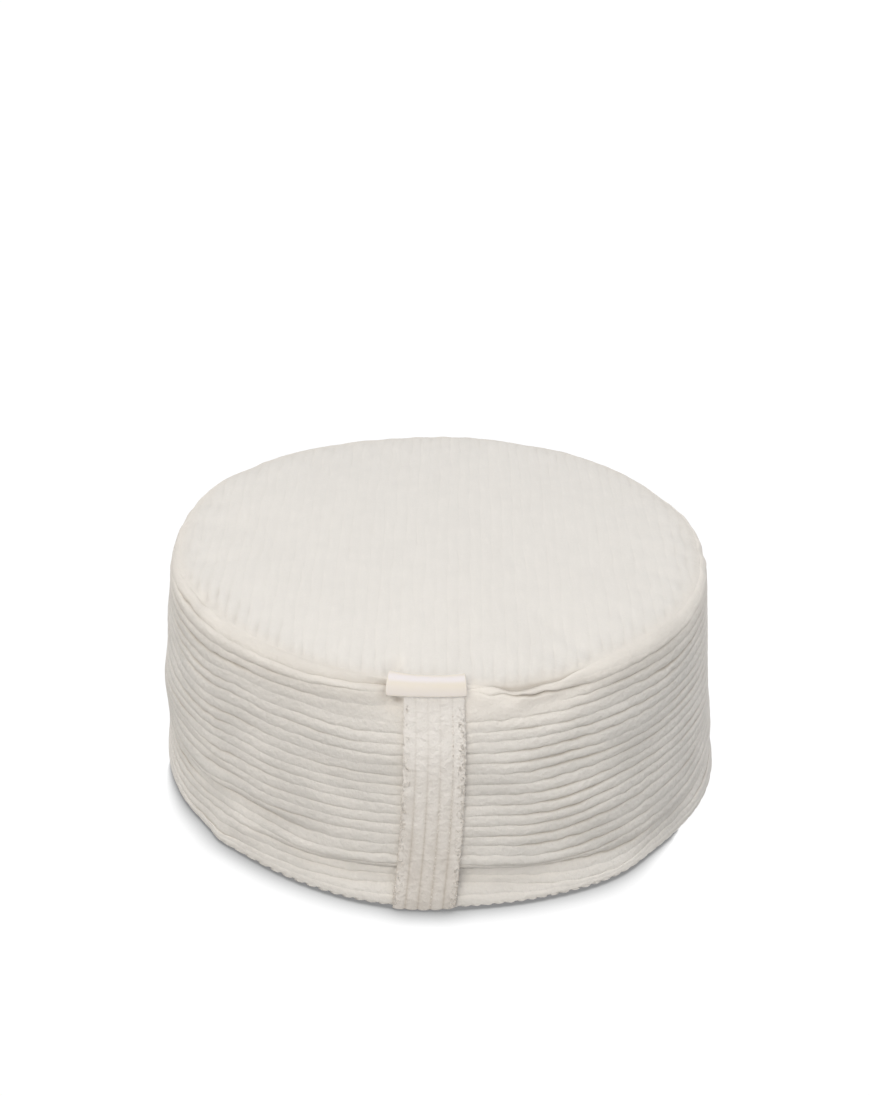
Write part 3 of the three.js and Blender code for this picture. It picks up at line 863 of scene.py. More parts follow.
def store(piece, name, values):
    """A number for each vertex, kept on the mesh under a name for the materials to read."""
    made = piece.data.attributes.new(name, "FLOAT", "POINT")
    made.data.foreach_set("value", np.ravel(values).astype(np.float32))


def strokes(seed, lines, length, waves):
    """Pale strokes of pile along lines: each line adds up sine waves with phases of its own, a whole number
    of them over the length, and keeps only what rises above 1."""
    draw = np.random.default_rng(seed)
    total = 0
    for count in waves:
        total = total + np.sin(2 * np.pi * (count * length + draw.uniform(size=(lines, 1))))
    return np.maximum(0, total - 1)


climbed = share * side_length
at_foot = np.exp(-(climbed / FOOT_PILE) ** 2)
at_low = np.exp(-((climbed - LOW_PILE) / LOW_SPREAD) ** 2)
at_rim = np.exp(-(from_seam / RIM_PILE) ** 2)
side_blend = np.exp(-(from_seam / PILE_BLEND) ** 2)
side_lie_and_shade = SIDE_NAP + SIDE_CLOUDS * ripple(31, round_share, climbed, turns=26, pitch=24, count=30)
side_lie_and_shade = side_lie_and_shade + WALE_CLOUDS * ripple(
    32, round_share + 0 * share, nearest_edge + across, turns=9, pitch=1.7)
side_lie_and_shade = side_lie_and_shade + STROKES * strokes(35, len(share), round_share + 0 * share, (41, 57, 30))
# Painted light across each wale, and paler pile near the seam.
side_lie_and_shade = side_lie_and_shade + WALE_SHADE * (across - 0.5) + SEAM_NAP * side_blend
# Painted light and shade by place on the wall, the foot, the low band and the rim.
for column, part in (("wall", 1 - at_foot), ("foot", at_foot), ("low", at_low), ("rim", at_rim)):
    side_lie_and_shade = side_lie_and_shade + part * along(PAINTED_LIGHT_BY_PLACE, column, angle, closed=True)
# Painted shade: the pile is drawn darker along the pinched seam.
side_lie_and_shade = side_lie_and_shade - along(PINCH_PAINTED_SHADE, "dark", angle) * np.exp(-((from_seam - PINCH_ROLL) / PINCH_ROLL) ** 2)

top_blend = np.exp(-(top_from_seam / PILE_BLEND) ** 2)
top_lie_and_shade = TOP_CLOUDS * ripple(33, top_x / across_span, top_y, turns=9, pitch=50, count=30)
top_lie_and_shade = top_lie_and_shade + TOP_NAP - EDGE_NAP * top_blend
top_lie_and_shade = top_lie_and_shade + STROKES * strokes(34, len(top_x), top_y / across_span, (10, 13, 7))
# Painted light and shade by place on the top.
top_lie_and_shade = top_lie_and_shade + along(PAINTED_LIGHT_BY_PLACE, "top", top_angle, closed=True) * (top_radius / TOP_RADIUS) ** 2
# Painted shade: the top is drawn darker near the pinched seam.
top_lie_and_shade = top_lie_and_shade - 0.5 * along(PINCH_PAINTED_SHADE, "dark", top_angle) * np.exp(-(top_from_seam / PINCH_SHADE) ** 2)
print("lie of the pile: wall", round(float(side_lie_and_shade.mean()), 2), "and top", round(float(top_lie_and_shade.mean()), 2))

# %% Write the four numbers on the cover
# How far the pile stands up on the wall and the top, and what it gains or loses near the seam.
WALL_PILE = 1
SEAM_LESS = 0.4
TOP_PILE = 0.12
SEAM_MORE = 0.48
WARMTH = 0.25
WARM_DOWN = 20
WARM_IN = 6


def store_panels(name, *grids):
    """Numbers for the side band, the top and the base, one after the other, on the cushion."""
    store(cushion, name, np.concatenate([grid.ravel() for grid in grids]))


plain_base = 0 * base_groove
side_warm = WARMTH * np.exp(-(from_seam / WARM_DOWN) ** 2)
top_warm = WARMTH * np.exp(-(top_from_seam / WARM_IN) ** 2)
store_panels("groove", *(np.clip(grid, 0, 1) for grid in (side_groove, top_groove, base_groove)))
store_panels("lie_and_shade", 0.5 + side_lie_and_shade, 0.5 + top_lie_and_shade, 0.5 + plain_base)
side_pile = WALL_PILE - SEAM_LESS * side_blend
top_pile = TOP_PILE + SEAM_MORE * top_blend
store_panels("pile", side_pile, top_pile, WALL_PILE + plain_base)
store_panels("warm", side_warm, top_warm, plain_base)
print("pile stands up from", round(float(top_pile.min()), 2), "on the top to", WALL_PILE, "on the wall")

# %% [markdown]
# ## The carry strap
#
# The strap is a strip of the same corduroy with its five wales along it, sewn in at the top seam and the
# base seam, and lying on the wall between them. A flat strip is modelled directly: a closed profile, ridged
# outside and flat inside, is carried up the wall and over the shoulder, and its edges are left a little
# rough.

# %% The strap's path up the wall
STRAP_WIDTH = 33.4
STRAP_THICKNESS = 2.4
STRAP_WALES = 5
STRAP_FOOT = 1.1
SEWN_GAP = 0.4
STRAP_TOP_ROLL = 50
STRAP_LINE = {"height": [0, 50, 95, 145], "x": [-7.1, -4.8, -4.3, -5.9]}
# Its lower end is drawn flat by the base seam, notched by the wales and cut on a slant.
DRAWN_FLAT = 9
FLATTENED = 0.7
NOTCHES = 0.9
SLANT = 2
END_REACH = 6


def wall_path(strap_angle, climb):
    """Radius and height of the strap's inner side: climb 0 to 1 goes up the wall, 1 to 2 over the shoulder,
    and the way that it faces there as a second pair."""
    height = STRAP_FOOT + (SHOULDER_HEIGHT - STRAP_FOOT) * np.minimum(climb, 1)
    roll = STRAP_TOP_ROLL * np.maximum(climb - 1, 0)
    roll_radius, roll_height = shoulder_point(roll, SEWN_GAP)
    radius = np.where(climb <= 1, wall_radius(strap_angle, height) + SEWN_GAP, roll_radius)
    height = np.where(climb <= 1, height, roll_height)
    return radius, height, np.cos(np.radians(roll)), np.sin(np.radians(roll))


def strap_surface(climb, s, off):
    """Points of the strap at a climb, a share s across it and a height off its inner side, which the base
    seam draws flat."""
    height = SHOULDER_HEIGHT * np.minimum(climb, 1)
    centre = along(STRAP_LINE, "x", height) - LEAN * height / TOP_HEIGHT
    strap_angle = np.degrees((centre + STRAP_WIDTH * (s - 0.5)) / WALL_RADIUS)
    radius, height, out, lift = wall_path(strap_angle, climb)
    uneven = NOTCHES * (1 - crest((s * STRAP_WALES) % 1.0)) + SLANT * np.clip(s, 0, 1) ** 4
    height = height + uneven * np.exp(-(height / END_REACH) ** 2)
    off = off * (1 - FLATTENED * np.exp(-((height - STRAP_FOOT) / DRAWN_FLAT) ** 2))
    rest = place(strap_angle, radius + off * out, height + off * lift)
    share_up = np.clip((height - BASE_SEAM) / (TOP_HEIGHT - BASE_SEAM), 0, 1)
    return rest + swell_at(side_swell, share_up * (COVER_ROWS - 1), strap_angle)


print("strap path from", STRAP_FOOT, "mm over the floor to", STRAP_TOP_ROLL, "degrees up the shoulder")

# %% Carry the strap's profile along its path
STRAP_GROOVE = 0.22
STRAP_ROWS = 190
STRAP_STEPS = np.array([0, 0.07, 0.2, 0.38, 0.62, 0.8, 0.93])
# The share of the rows that lies on the wall, and the length over which the unevenness is counted.
WALL_ROWS = 0.95
STRAP_RUN = 140
EDGE_ROUGHNESS = 0.006
STRAP_LUMPS = 0.06
# Painted shade: the strap's pile is drawn darker down its lower half and paler at its upper end, where more
# light falls; its grooves are deeper towards the bottom.
STRAP_SHADE_AND_GROOVES = {"climb": [0, 0.15, 0.4, 0.65, 0.85, 1.2, 2], "paler": [-0.35, -0.4, -0.15, 0.1, 0.4, 0.4, 0.3],
             "groove": [1, 1, 0.9, 0.7, 0.5, 0.45, 0.4]}
strap_across = np.append((np.arange(STRAP_WALES)[:, None] + STRAP_STEPS).ravel() / STRAP_WALES, 1.0)
climb = np.linspace(0, 1, STRAP_ROWS)[:, None]
climb = np.where(climb < WALL_ROWS, climb / WALL_ROWS, 1 + (climb - WALL_ROWS) / (1 - WALL_ROWS))
run = climb * STRAP_RUN
rough = np.hstack([
    EDGE_ROUGHNESS * ripple(seed, 0 * climb, run, turns=0, pitch=2.6, count=30) for seed in (41, 44)])
wale_share = (strap_across * STRAP_WALES) % 1.0
ridge = 1 - along(STRAP_SHADE_AND_GROOVES, "groove", climb) * (1 - crest(wale_share))
lumps = STRAP_LUMPS * ripple(42, strap_across / 2, run, turns=9, pitch=9)
outer_off = STRAP_THICKNESS - STRAP_GROOVE * (1 - ridge) + lumps
edge_pull = np.where(strap_across < 0.5, rough[:, :1], rough[:, 1:]) * np.abs(2 * strap_across - 1) ** 6
s_outer = strap_across + edge_pull
outer = strap_surface(climb, s_outer, outer_off)
inner = strap_surface(climb, s_outer, 0 * outer_off)
strap_loop = np.concatenate([outer, inner[:, ::-1]], axis=1)
loop_size = strap_loop.shape[1]
strap_faces = grid_faces(STRAP_ROWS, loop_size, closed=True)
half = loop_size // 2
ends = grid_faces(2, half)
low_end = np.where(ends >= half, loop_size - 1 - (ends - half), ends)
high_end = low_end[:, ::-1] + (STRAP_ROWS - 1) * loop_size
strap = new_object("carry_strap_corduroy", strap_loop,
                   np.concatenate([strap_faces, low_end[:, ::-1], high_end[:, ::-1]]).tolist())

# %% Write the lie of the pile, with its painted shade, on the strap
STRAP_CLOUDS = 0.1
INNER_GROUND = 0.3
# Fuzz makes both edges paler, the right one more: how wide it is, as shares of the strap's width.
FUZZ_RIGHT = 0.08
FUZZ_LEFT = 0.06
LEFT_LESS = 0.6
plain_inner = 0 * inner[..., 0]
strap_lie_and_shade = STRAP_CLOUDS * ripple(43, strap_across / 2, run, turns=6, pitch=16, count=30)
strap_lie_and_shade = strap_lie_and_shade + along(STRAP_SHADE_AND_GROOVES, "paler", climb)
fuzz = np.exp(-((1 - strap_across) / FUZZ_RIGHT) ** 2) + LEFT_LESS * np.exp(-(strap_across / FUZZ_LEFT) ** 2)
tufted = 0.45 + 0.25 * ripple(46, strap_across / 2, run, turns=9, pitch=3, count=30)
strap_lie_and_shade = strap_lie_and_shade + fuzz * tufted
store(strap, "groove", np.concatenate([1 - ridge + 0 * climb, INNER_GROUND + plain_inner], axis=1))
store(strap, "lie_and_shade", 0.5 + np.concatenate([strap_lie_and_shade, plain_inner], axis=1))
store(strap, "pile", np.ones(strap_loop.shape[:2]))
print("lie of the strap's pile, mean", round(float(strap_lie_and_shade.mean()), 2))

# %% [markdown]
# ## Loose pile and stitches on the strap
#
# The strap's long edges are cut through the pile, so loose tufts stand out of them all the way down. Two rows
# of stitches lie in its grooves. Both are hundreds of small threads: one function shapes them all at once, as
# tubes along short bent lines, and joins them into one mesh.

# %% Tufts along the edges
TUFTS = 520
THREADS_A_TUFT = 5
TUFT_LENGTH = 0.85
TUFT_THREAD = 0.2
# How wide a thread is along its length, as shares of its full width.
TUFT_PROFILE = np.array([1, 1, 0.8, 0.25])
# The share of tufts on the right edge, and how far in from an edge they go, as a share of the strap's width.
ON_THE_RIGHT = 0.62
FARTHEST_IN = 0.11


def unit(ways):
    """Directions cut to length 1."""
    return ways / np.linalg.norm(ways, axis=-1, keepdims=True)


def threads(name, roots, ways, bends, widths, profile, sides):
    """Short threads as one mesh. Each one's middle is a parabola: the root, plus its way times t, plus its
    bend times t squared. Round it stands a ring of points for each t, as wide as the profile says."""
    t = np.linspace(0, 1, len(profile))[:, None]
    middle = roots[:, None] + ways[:, None] * t + bends[:, None] * t**2
    first = unit(np.cross(ways, [0.31, 0.17, 0.93]))
    second = unit(np.cross(ways, first))
    q = np.linspace(0, 2 * np.pi, sides, endpoint=False)[:, None]
    ring = first[:, None] * np.cos(q) + second[:, None] * np.sin(q)
    size = widths[:, None] * profile
    points = middle[:, :, None] + size[:, :, None, None] * ring[:, None]
    count, rings = size.shape
    starts = (np.arange(count) * rings * sides)[:, None, None]
    walls = (starts + grid_faces(rings, sides, closed=True)).reshape(-1, 4)
    caps = np.stack([np.arange(sides)[::-1], np.arange(sides) + (rings - 1) * sides])
    return new_object(name, points, [*walls.tolist(), *(starts + caps).reshape(-1, sides).tolist()])


def strap_frame(climb, s, off):
    """A point on the strap, and the ways across it, off it and up it there, from small steps."""
    here = strap_surface(climb, s, off)
    across_it = unit(strap_surface(climb, s + 0.01, off) - here)
    off_it = unit(strap_surface(climb, s, off + 0.1) - here)
    return here, across_it, off_it, np.cross(off_it, across_it)


draw = np.random.default_rng(45)
tuft_climb = np.repeat(draw.uniform(0.01, 0.99, TUFTS), THREADS_A_TUFT)
right_edge = np.repeat(draw.uniform(size=TUFTS) < ON_THE_RIGHT, THREADS_A_TUFT)
in_from_edge = np.repeat(FARTHEST_IN * draw.uniform(size=TUFTS) ** 2, THREADS_A_TUFT)
tuft_climb = tuft_climb + draw.normal(0, 0.0022, len(tuft_climb))
tuft_off = STRAP_THICKNESS * np.where(in_from_edge > 0.015, 0.93, draw.uniform(0.45, 0.95, len(tuft_climb)))
tuft_across = 0.012 + in_from_edge
tuft_across = np.where(right_edge, 1 - tuft_across, tuft_across)
root, sideways, off_it, up_it = strap_frame(tuft_climb, tuft_across, tuft_off)
outwards = np.where(right_edge, 1, -1) * draw.uniform(-0.2, 1, len(root))
tuft_way = outwards[:, None] * sideways + draw.uniform(0.1, 1, (len(root), 1)) * off_it
tuft_way = unit(tuft_way + draw.normal(0, 0.45, (len(root), 1)) * up_it)
tuft_way = tuft_way * TUFT_LENGTH * draw.uniform(0.5, 1.25, (len(root), 1))
tuft_bend = draw.normal(0, 0.2, (len(root), 3))
tuft_width = TUFT_THREAD * draw.uniform(0.7, 1.3, len(root))
edge_pile = threads("strap_edge_pile", root, tuft_way, tuft_bend, tuft_width, TUFT_PROFILE, 3)
print(len(root), "loose threads on the strap's edges")

# %% Stitches in the grooves
STITCH_PITCH = 3.1
STITCH_LENGTH = 2.1
STITCH_THREAD = 0.34
STITCH_PROFILE = np.array([0.2, 0.75, 1, 1, 0.75, 0.2])
# The share across the strap, and the share of its height over which each row of stitches can be seen.
STITCH_ROWS = {"across": [0.6, 0.8], "from": [0.02, 0.3], "to": [0.55, 0.95]}
rows = [np.arange(low, high, STITCH_PITCH / SHOULDER_HEIGHT)
        for low, high in zip(STITCH_ROWS["from"], STITCH_ROWS["to"])]
stitch_climb = np.concatenate(rows)
stitch_climb = stitch_climb + draw.normal(0, 0.004, len(stitch_climb))
stitch_across = np.repeat(STITCH_ROWS["across"], [len(row) for row in rows])
root, sideways, off_it, up_it = strap_frame(stitch_climb, stitch_across, STRAP_THICKNESS - STRAP_GROOVE)
stitch_way = unit(up_it + draw.normal(0, 0.1, (len(root), 1)) * sideways)
stitch_way = stitch_way * STITCH_LENGTH * draw.uniform(0.45, 1.1, (len(root), 1))
stitch_width = STITCH_THREAD * draw.uniform(0.8, 1.1, len(root))
stitches = threads("strap_stitches", root, stitch_way, 0 * root, stitch_width, STITCH_PROFILE, 6)
print(len(root), "stitches in", len(rows), "rows")

# %% [markdown]
# ## The folded tab
#
# The tab is a strip of smooth cream leather, folded over and caught in the seam above the strap. Its section
# is the same all along, so a closed profile on the shoulder's roll is carried from one cut end to the other.
# A smooth curve goes through a few given points of the section, and the ends are drawn in a little.

# %% Carry the tab's section along the seam
TAB_WIDTH = 44
TAB_X = -10
TAB_STEPS = 40
TAB_POINTS = 72
# The middle of the section, on the shoulder's roll and off it, and how far the cut ends draw in to it.
TAB_ROLL = 58
TAB_OFF = 3
TAB_END = 0.5
DRAWN_IN = 0.16
# Where the folded edge begins and ends on the roll, and how far the outer face lifts at the ends.
EDGE_FROM = 64
EDGE_TO = 88
OUTER_FROM = 2
END_LIFT = 0.5
# How far the tab is turned down over the shoulder, in degrees, and how much further up its folded edge
# stands.
TAB_HANG = {"t": [-1, -0.55, 0, 0.6, 1], "down": [9, 8, 6.5, 5, 4], "higher": [7, 1, -2.5, -2, 0]}
# Places on the shoulder's roll, and how far off it, round the section from the inner side.
TAB_SECTION = {
    "point": np.arange(17),
    "roll": [84, 74, 64, 57, 43, 29, 27, 28, 31, 46, 60, 70, 77, 82, 86, 87, 84],
    "off": [0.4, 0.4, 0.5, 3.4, 3.5, 3.5, 4, 5.5, 6, 6.1, 5.6, 5.1, 4.7, 4, 2.7, 1, 0.4],
}
tab_at = np.linspace(0, 16, TAB_POINTS, endpoint=False)
tab_roll, tab_off = (along(TAB_SECTION, column, tab_at) for column in ("roll", "off"))
tab_t = np.linspace(-1, 1, TAB_STEPS)
tab_t = np.sin(tab_t * np.pi / 2)[:, None]
end_share = 2 * TAB_END / TAB_WIDTH
drawn_in = 1 - DRAWN_IN * np.clip((np.abs(tab_t) - 1 + end_share) / end_share, 0, 1) ** 2
at_top = np.clip((tab_roll - EDGE_FROM) / (EDGE_TO - EDGE_FROM), 0, 1)
roll_here = TAB_ROLL + (tab_roll - TAB_ROLL) * drawn_in - along(TAB_HANG, "down", tab_t)
roll_here = roll_here + at_top * along(TAB_HANG, "higher", tab_t)
off_here = TAB_OFF + (tab_off - TAB_OFF) * drawn_in
off_here = off_here + END_LIFT * np.abs(tab_t) ** 3 * (tab_off > OUTER_FROM)
tab_radius, tab_height = shoulder_point(roll_here, off_here)
tab_angle = np.degrees((TAB_X - LEAN + TAB_WIDTH / 2 * tab_t) / WALL_RADIUS)
tab_points = place(tab_angle, tab_radius, tab_height)
middle = tab_points[[0, -1]].mean(axis=1)
tab_faces = grid_faces(TAB_STEPS, TAB_POINTS, closed=True)[:, ::-1]
loop = np.arange(TAB_POINTS)
last = (TAB_STEPS - 1) * TAB_POINTS
hub = TAB_STEPS * TAB_POINTS
tab_caps = np.concatenate([
    np.column_stack([loop, np.roll(loop, -1), 0 * loop + hub]),
    np.column_stack([np.roll(loop, -1) + last, loop + last, 0 * loop + hub + 1])])
tab = new_object("folded_leather_tab", np.concatenate([tab_points.reshape(-1, 3), middle]),
                 [*tab_faces.tolist(), *tab_caps.tolist()])
print("tab", TAB_WIDTH, "mm wide,", 2 * len(tab_faces) + len(tab_caps), "triangles")

# %% [markdown]
# ## Materials
#
# Every finish is built from nodes. One small function adds a node, sets its values and links its inputs, and
# another turns the sRGB colours that people write down into the linear ones that Blender computes with.

# %% Helpers for materials


def linear(colour):
    """A hex colour as linear RGBA: each channel c becomes ((c + 0.055) / 1.055) ** 2.4."""
    channels = np.array([int(colour[i:i + 2], 16) / 255 for i in (1, 3, 5)])
    return (*(((channels + 0.055) / 1.055) ** 2.4), 1.0)


def add(tree, kind, inputs, **settings):
    """A new node of a kind: settings on the node, and for each input either a value or another node's
    output."""
    made = tree.nodes.new(kind)
    for name, value in settings.items():
        setattr(made, name, value)
    for name, value in inputs.items():
        if isinstance(value, bpy.types.NodeSocket):
            tree.links.new(value, made.inputs[name])
        else:
            made.inputs[name].default_value = value
    return made


def new_material(name, piece):
    """An empty material with its output, put on a piece: (tree, output node, object coordinates)."""
    material = bpy.data.materials.new(name)
    material.use_nodes = True
    tree = material.node_tree
    tree.nodes.clear()
    output = add(tree, "ShaderNodeOutputMaterial", {})
    at = add(tree, "ShaderNodeTexCoord", {}).outputs["Object"]
    piece.data.materials.append(material)
    return tree, output, at


print("half grey, #808080, is", round(float(linear("#808080")[0]), 3), "in linear light")

# %% [markdown]
# ## Cotton corduroy
#
# Cut cotton pile scatters light in all directions and shines a little where it is seen from the side, so it
# is fully rough with some sheen. Between the wales the bare ground weave shows, greyer and warmer; its colour
# there is also painted shade for the shadow in the grooves, and it paints the shade of the deep seam, the
# pinch and the pocket. The pile lies this way and that, which makes pale and dark clouds along the wales, and
# its single tufts, about 0.8 mm apart, roughen the surface.

# %% Corduroy for the cover and the strap
TUFT = 0.8
KNOB = 3.4
CLOUD = 14
WARM_TONE = "#f0e4d5"
# Numbers of the mix node's sockets for colours.
MIX_FACTOR, MIX_A, MIX_B, MIX_RESULT = 0, 6, 7, 2


def corduroy(name, piece, pale, shaded, ground, tuft_depth, knob_depth):
    """Cotton corduroy: the pile's colour drifts between pale and shaded with its lie and with the painted
    light and shade stored with it, and darkens to the ground weave in the grooves, where that colour is
    partly painted shade. Where it stands up, it clumps into knobs with paler tips."""
    tree, output, at = new_material(name, piece)
    groove = add(tree, "ShaderNodeAttribute", {}, attribute_name="groove").outputs["Fac"]
    lie_and_shade = add(tree, "ShaderNodeAttribute", {}, attribute_name="lie_and_shade").outputs["Fac"]
    clouds = add(tree, "ShaderNodeTexNoise", {"Vector": at, "Scale": 1 / (CLOUD * MM), "Detail": 4.0})
    tufts = add(tree, "ShaderNodeTexNoise", {"Vector": at, "Scale": 1 / (TUFT * MM), "Detail": 3.0})
    standing = add(tree, "ShaderNodeAttribute", {}, attribute_name="pile").outputs["Fac"]
    clumps = add(tree, "ShaderNodeTexNoise", {"Vector": at, "Scale": 1 / (KNOB * MM), "Detail": 2.0})
    knobs = add(tree, "ShaderNodeMath", {0: clumps.outputs["Fac"], 1: standing}, operation="MULTIPLY")
    lie = lie_and_shade
    patterns = ((clouds.outputs["Fac"], 0.3), (tufts.outputs["Fac"], 0.3), (knobs.outputs[0], 0.4))
    for pattern, weight in patterns:
        added = add(tree, "ShaderNodeMath", {0: pattern, 1: weight, 2: lie}, operation="MULTIPLY_ADD")
        lie = added.outputs[0]
    share_pale = add(tree, "ShaderNodeMapRange", {"Value": lie, "From Min": 0.4, "From Max": 1.4})
    pile = add(tree, "ShaderNodeMix", {MIX_FACTOR: share_pale.outputs[0], MIX_A: linear(shaded),
                                       MIX_B: linear(pale)}, data_type="RGBA")
    warm = add(tree, "ShaderNodeAttribute", {}, attribute_name="warm").outputs["Fac"]
    toned = add(tree, "ShaderNodeMix", {MIX_FACTOR: warm, MIX_A: pile.outputs[MIX_RESULT],
                                        MIX_B: linear(WARM_TONE)}, data_type="RGBA")
    deep = add(tree, "ShaderNodeMath", {0: groove, 1: 2.2}, operation="POWER")
    colour = add(tree, "ShaderNodeMix", {MIX_FACTOR: deep.outputs[0], MIX_A: toned.outputs[MIX_RESULT],
                                         MIX_B: linear(ground)}, data_type="RGBA")
    lumpy = add(tree, "ShaderNodeBump", {"Height": knobs.outputs[0], "Distance": knob_depth * MM})
    bump = add(tree, "ShaderNodeBump", {"Height": tufts.outputs["Fac"], "Strength": 0.5,
                                        "Distance": tuft_depth * MM, "Normal": lumpy.outputs["Normal"]})
    shader = add(tree, "ShaderNodeBsdfPrincipled", {
        "Base Color": colour.outputs[MIX_RESULT], "Roughness": 0.95, "Specular IOR Level": 0.15,
        "Sheen Weight": 0.12, "Sheen Roughness": 0.5, "Sheen Tint": linear("#fffaf2"),
        "Normal": bump.outputs["Normal"]})
    tree.links.new(shader.outputs["BSDF"], output.inputs["Surface"])


corduroy("cotton_corduroy", cushion, "#f4eee6", "#ddd8d1", "#c6bdb2", 0.3, 0.9)
corduroy("cotton_corduroy_strap", strap, "#f6f0e9", "#e0d8cf", "#cfc5b9", 0.4, 1)
print("corduroy on", cushion.name, "and", strap.name)

# %% [markdown]
# ## Loose cotton pile and sewing thread
#
# Loose cotton is whiter than the brushed pile around it, because light goes through its thin fibres. Sewing
# thread is smoother, and its tone changes a little from stitch to stitch, in slanting bands.

# %% Cotton for the tufts and the stitches
# The scale of the wave that tones the stitches. Its bands lie about 3.6 mm apart.
BAND = 10
tree, output, at = new_material("loose_cotton", edge_pile)
fibres = add(tree, "ShaderNodeTexNoise", {"Vector": at, "Scale": 1 / (2 * MM), "Detail": 3.0})
fibre_tone = add(tree, "ShaderNodeMix", {MIX_FACTOR: fibres.outputs["Fac"], MIX_A: linear("#f2ece4"),
                                         MIX_B: linear("#fffdfa")}, data_type="RGBA")
shader = add(tree, "ShaderNodeBsdfPrincipled", {
    "Base Color": fibre_tone.outputs[MIX_RESULT], "Roughness": 0.9, "Specular IOR Level": 0.2,
    "Sheen Weight": 0.2})
through = add(tree, "ShaderNodeBsdfTranslucent", {"Color": fibre_tone.outputs[MIX_RESULT]})
fibre = add(tree, "ShaderNodeMixShader", {0: 0.45, 1: shader.outputs["BSDF"], 2: through.outputs["BSDF"]})
tree.links.new(fibre.outputs["Shader"], output.inputs["Surface"])

tree, output, at = new_material("cotton_thread", stitches)
turns = add(tree, "ShaderNodeTexWave", {"Vector": at, "Scale": 1 / (BAND * MM), "Distortion": 0.6},
            bands_direction="DIAGONAL")
thread_tone = add(tree, "ShaderNodeMix", {MIX_FACTOR: turns.outputs["Fac"], MIX_A: linear("#d6cdc2"),
                                          MIX_B: linear("#f0eae2")}, data_type="RGBA")
ridges = add(tree, "ShaderNodeBump", {"Height": turns.outputs["Fac"], "Strength": 0.4, "Distance": 0.1 * MM})
shader = add(tree, "ShaderNodeBsdfPrincipled", {
    "Base Color": thread_tone.outputs[MIX_RESULT], "Roughness": 0.75, "Normal": ridges.outputs["Normal"]})
tree.links.new(shader.outputs["BSDF"], output.inputs["Surface"])
print("cotton on", edge_pile.name, "and", stitches.name)

# %% [markdown]
# ## Leather
#
# The tab is finished leather: smooth, cream, with a fine pebbled grain of about 0.4 mm and a satin shine that
# catches the light along its fold.

# %% Leather for the tab
GRAIN = 0.4
tree, output, at = new_material("cream_leather", tab)
pebbles = add(tree, "ShaderNodeTexVoronoi", {"Vector": at, "Scale": 1 / (GRAIN * MM)})
blotches = add(tree, "ShaderNodeTexNoise", {"Vector": at, "Scale": 1 / (6 * MM), "Detail": 3.0})
tone = add(tree, "ShaderNodeMix", {MIX_FACTOR: blotches.outputs["Fac"], MIX_A: linear("#f2e6d1"),
                                   MIX_B: linear("#f3e8d6")}, data_type="RGBA")
pebbling = add(tree, "ShaderNodeBump", {"Height": pebbles.outputs["Distance"], "Strength": 0.25,
                                        "Distance": 0.04 * MM})
shine = add(tree, "ShaderNodeMapRange", {"Value": blotches.outputs["Fac"], "To Min": 0.24, "To Max": 0.27})
shader = add(tree, "ShaderNodeBsdfPrincipled", {
    "Base Color": tone.outputs[MIX_RESULT], "Roughness": shine.outputs[0], "IOR": 1.55,
    "Specular IOR Level": 0.85, "Specular Tint": linear("#5a92ff"), "Normal": pebbling.outputs["Normal"]})
tree.links.new(shader.outputs["BSDF"], output.inputs["Surface"])
print("leather on", tab.name)

# %% [markdown]
# ## What stands for what
#
# Each piece rides on the one body of the part and stands for its CAD solid, which is hidden. The cushion is
# filled nearly tight, the strap is a strip of cloth laid on the wall, and the tab is a strip of leather
# folded once.

# %% Tie the pieces to the frame
for piece, solid, finish in ((cushion, "cushion", "corduroy"), (strap, "carry_strap", "strap_corduroy"),
                             (tab, "seam_tab", "leather")):
    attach(piece, "root")
    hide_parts(solid)
for piece in (edge_pile, stitches):
    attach(piece, "root")
print("tied to the frame:", ", ".join(piece.name for piece in (cushion, strap, edge_pile, stitches, tab)))

# %% [markdown]
# ## Floor and light
#
# A packshot stands on a white sweep under large soft lights, so that the ground all but vanishes and only a
# thin contact shadow is left. A pale floor that gives light of its own does that, and darkens where the
# cushion hides the open air from it, in front and at the back. Under it, a grey table gives the light that
# comes up from below. The light is a white surround that is brightest near the horizon, a warm softbox at
# the front left that fills without a reflection, and a cooler one overhead that gives the tab its shine.

# %% Set up the floor
FLOOR_HALF = 6000
# The contact shadow's reach in metres, and how far in front of the cushion's middle, or behind it, the
# shadow begins and is full.
SHADOW_REACH = 0.0145
SHADOW_WAY = (0.18, 1, 0)
SHADOW_FROM = 0.065
SHADOW_FULL = 0.14
SHADOW_DARKEST = 0.26
FLOOR_WHITE = 1.03


def flat_floor(name, height):
    """A wide level square at a height in millimetres, which is stage and not part of the object."""
    corners = np.array([[-1, -1, 0], [1, -1, 0], [1, 1, 0], [-1, 1, 0]]) * FLOOR_HALF + [0, 0, height]
    made = new_object(name, corners, [[0, 1, 2, 3]])
    return made


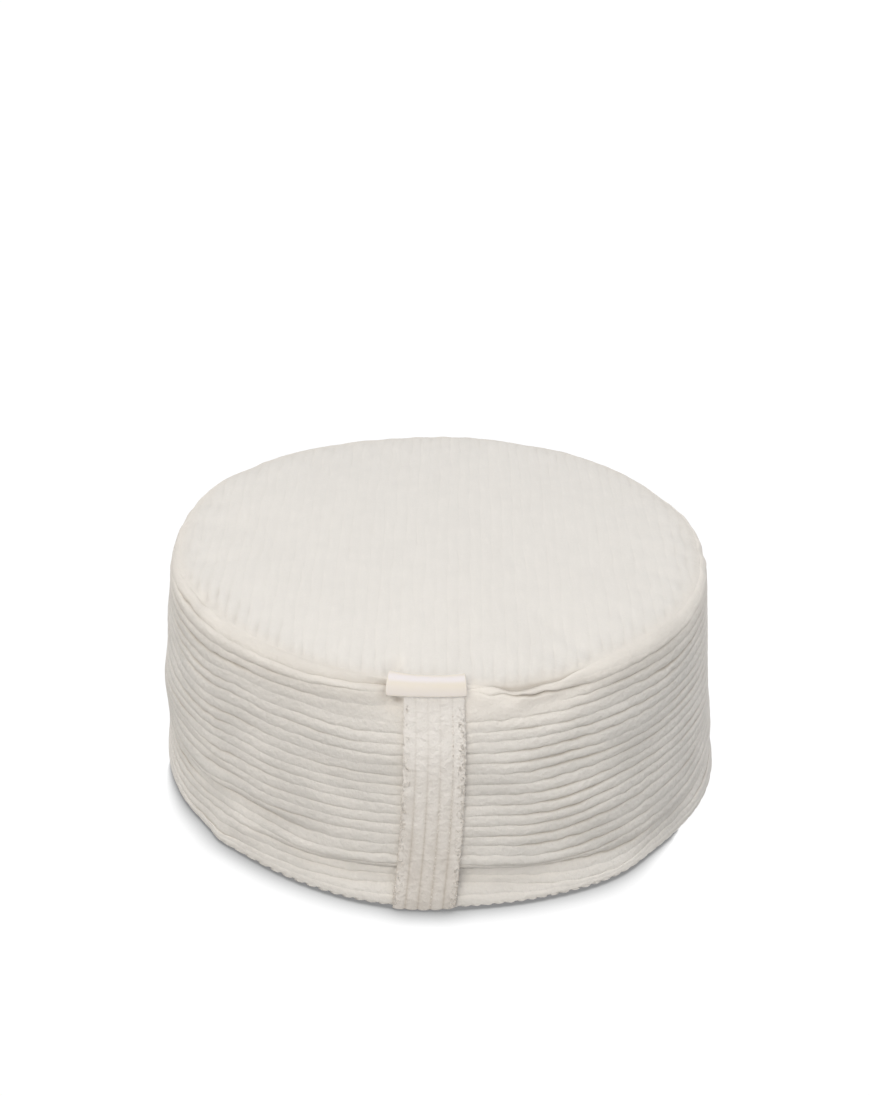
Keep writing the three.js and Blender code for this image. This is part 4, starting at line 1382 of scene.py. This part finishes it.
sweep = flat_floor("white_sweep", 0)
sweep.visible_diffuse = False
tree, output, at = new_material("white_paper", sweep)
in_front = add(tree, "ShaderNodeVectorMath", {0: at, 1: SHADOW_WAY}, operation="DOT_PRODUCT").outputs["Value"]
from_sides = add(tree, "ShaderNodeMath", {0: in_front}, operation="ABSOLUTE").outputs["Value"]
reach = add(tree, "ShaderNodeMapRange", {"Value": from_sides, "From Min": SHADOW_FROM,
                                         "From Max": SHADOW_FULL, "To Min": 0.0, "To Max": SHADOW_REACH})
open_sky = add(tree, "ShaderNodeAmbientOcclusion", {"Distance": reach.outputs[0]}, samples=16)
glow = add(tree, "ShaderNodeMapRange", {"Value": open_sky.outputs["AO"], "From Min": 0.4, "From Max": 1.0,
                                        "To Min": SHADOW_DARKEST, "To Max": FLOOR_WHITE})
paper = add(tree, "ShaderNodeEmission", {"Strength": glow.outputs[0]})
tree.links.new(paper.outputs["Emission"], output.inputs["Surface"])

table = flat_floor("grey_table", -0.5)
table.visible_camera = False
tree, output, at = new_material("grey_board", table)
board = add(tree, "ShaderNodeBsdfDiffuse", {"Color": linear("#b4b2ae")})
tree.links.new(board.outputs["BSDF"], output.inputs["Surface"])
print("floor", 2 * FLOOR_HALF * MM, "m wide, and a table under it")

# %% Set up the lights
HORIZON_LIGHT = 1.52
ZENITH_LIGHT = 0.0
sky = bpy.data.worlds.new("white_studio")
sky.use_nodes = True
tree = sky.node_tree
way = add(tree, "ShaderNodeTexCoord", {}).outputs["Generated"]
climb_of_sky = add(tree, "ShaderNodeSeparateXYZ", {"Vector": way}).outputs["Z"]
strength = add(tree, "ShaderNodeMapRange", {"Value": climb_of_sky, "To Min": HORIZON_LIGHT,
                                            "To Max": ZENITH_LIGHT})
tree.nodes["Background"].inputs["Color"].default_value = linear("#fafcff")
tree.links.new(strength.outputs[0], tree.nodes["Background"].inputs["Strength"])
bpy.context.scene.world = sky
bpy.context.scene.view_settings.view_transform = "Standard"


def softbox(name, at, towards, size, watts, colour):
    """A square area light at a place, in metres, that faces another place."""
    light = bpy.data.lights.new(name, "AREA")
    light.size = size
    light.energy = watts
    light.color = linear(colour)[:3]
    made = bpy.data.objects.new(name, light)
    back = np.array(at, float) - np.array(towards, float)
    back = back / np.linalg.norm(back)
    sideways = np.cross([0, 1, 0.01], back)
    sideways = sideways / np.linalg.norm(sideways)
    made.matrix_world = Matrix([[*row] for row in np.vstack([
        np.column_stack([sideways, np.cross(back, sideways), back, at]), [0, 0, 0, 1]])])
    bpy.context.scene.collection.objects.link(made)
    return made


fill = softbox("softbox_front", (-0.6, -1.5, 1.5), (0, 0, 0.1), 1.0, 11.5, "#fff9ee")
fill.visible_glossy = False
overhead = softbox("softbox_over", (0, -0.1, 1.9), (0, 0, 0.1), 1.2, 11.7, "#f6faff")
print("lights:", fill.name, "and", overhead.name)
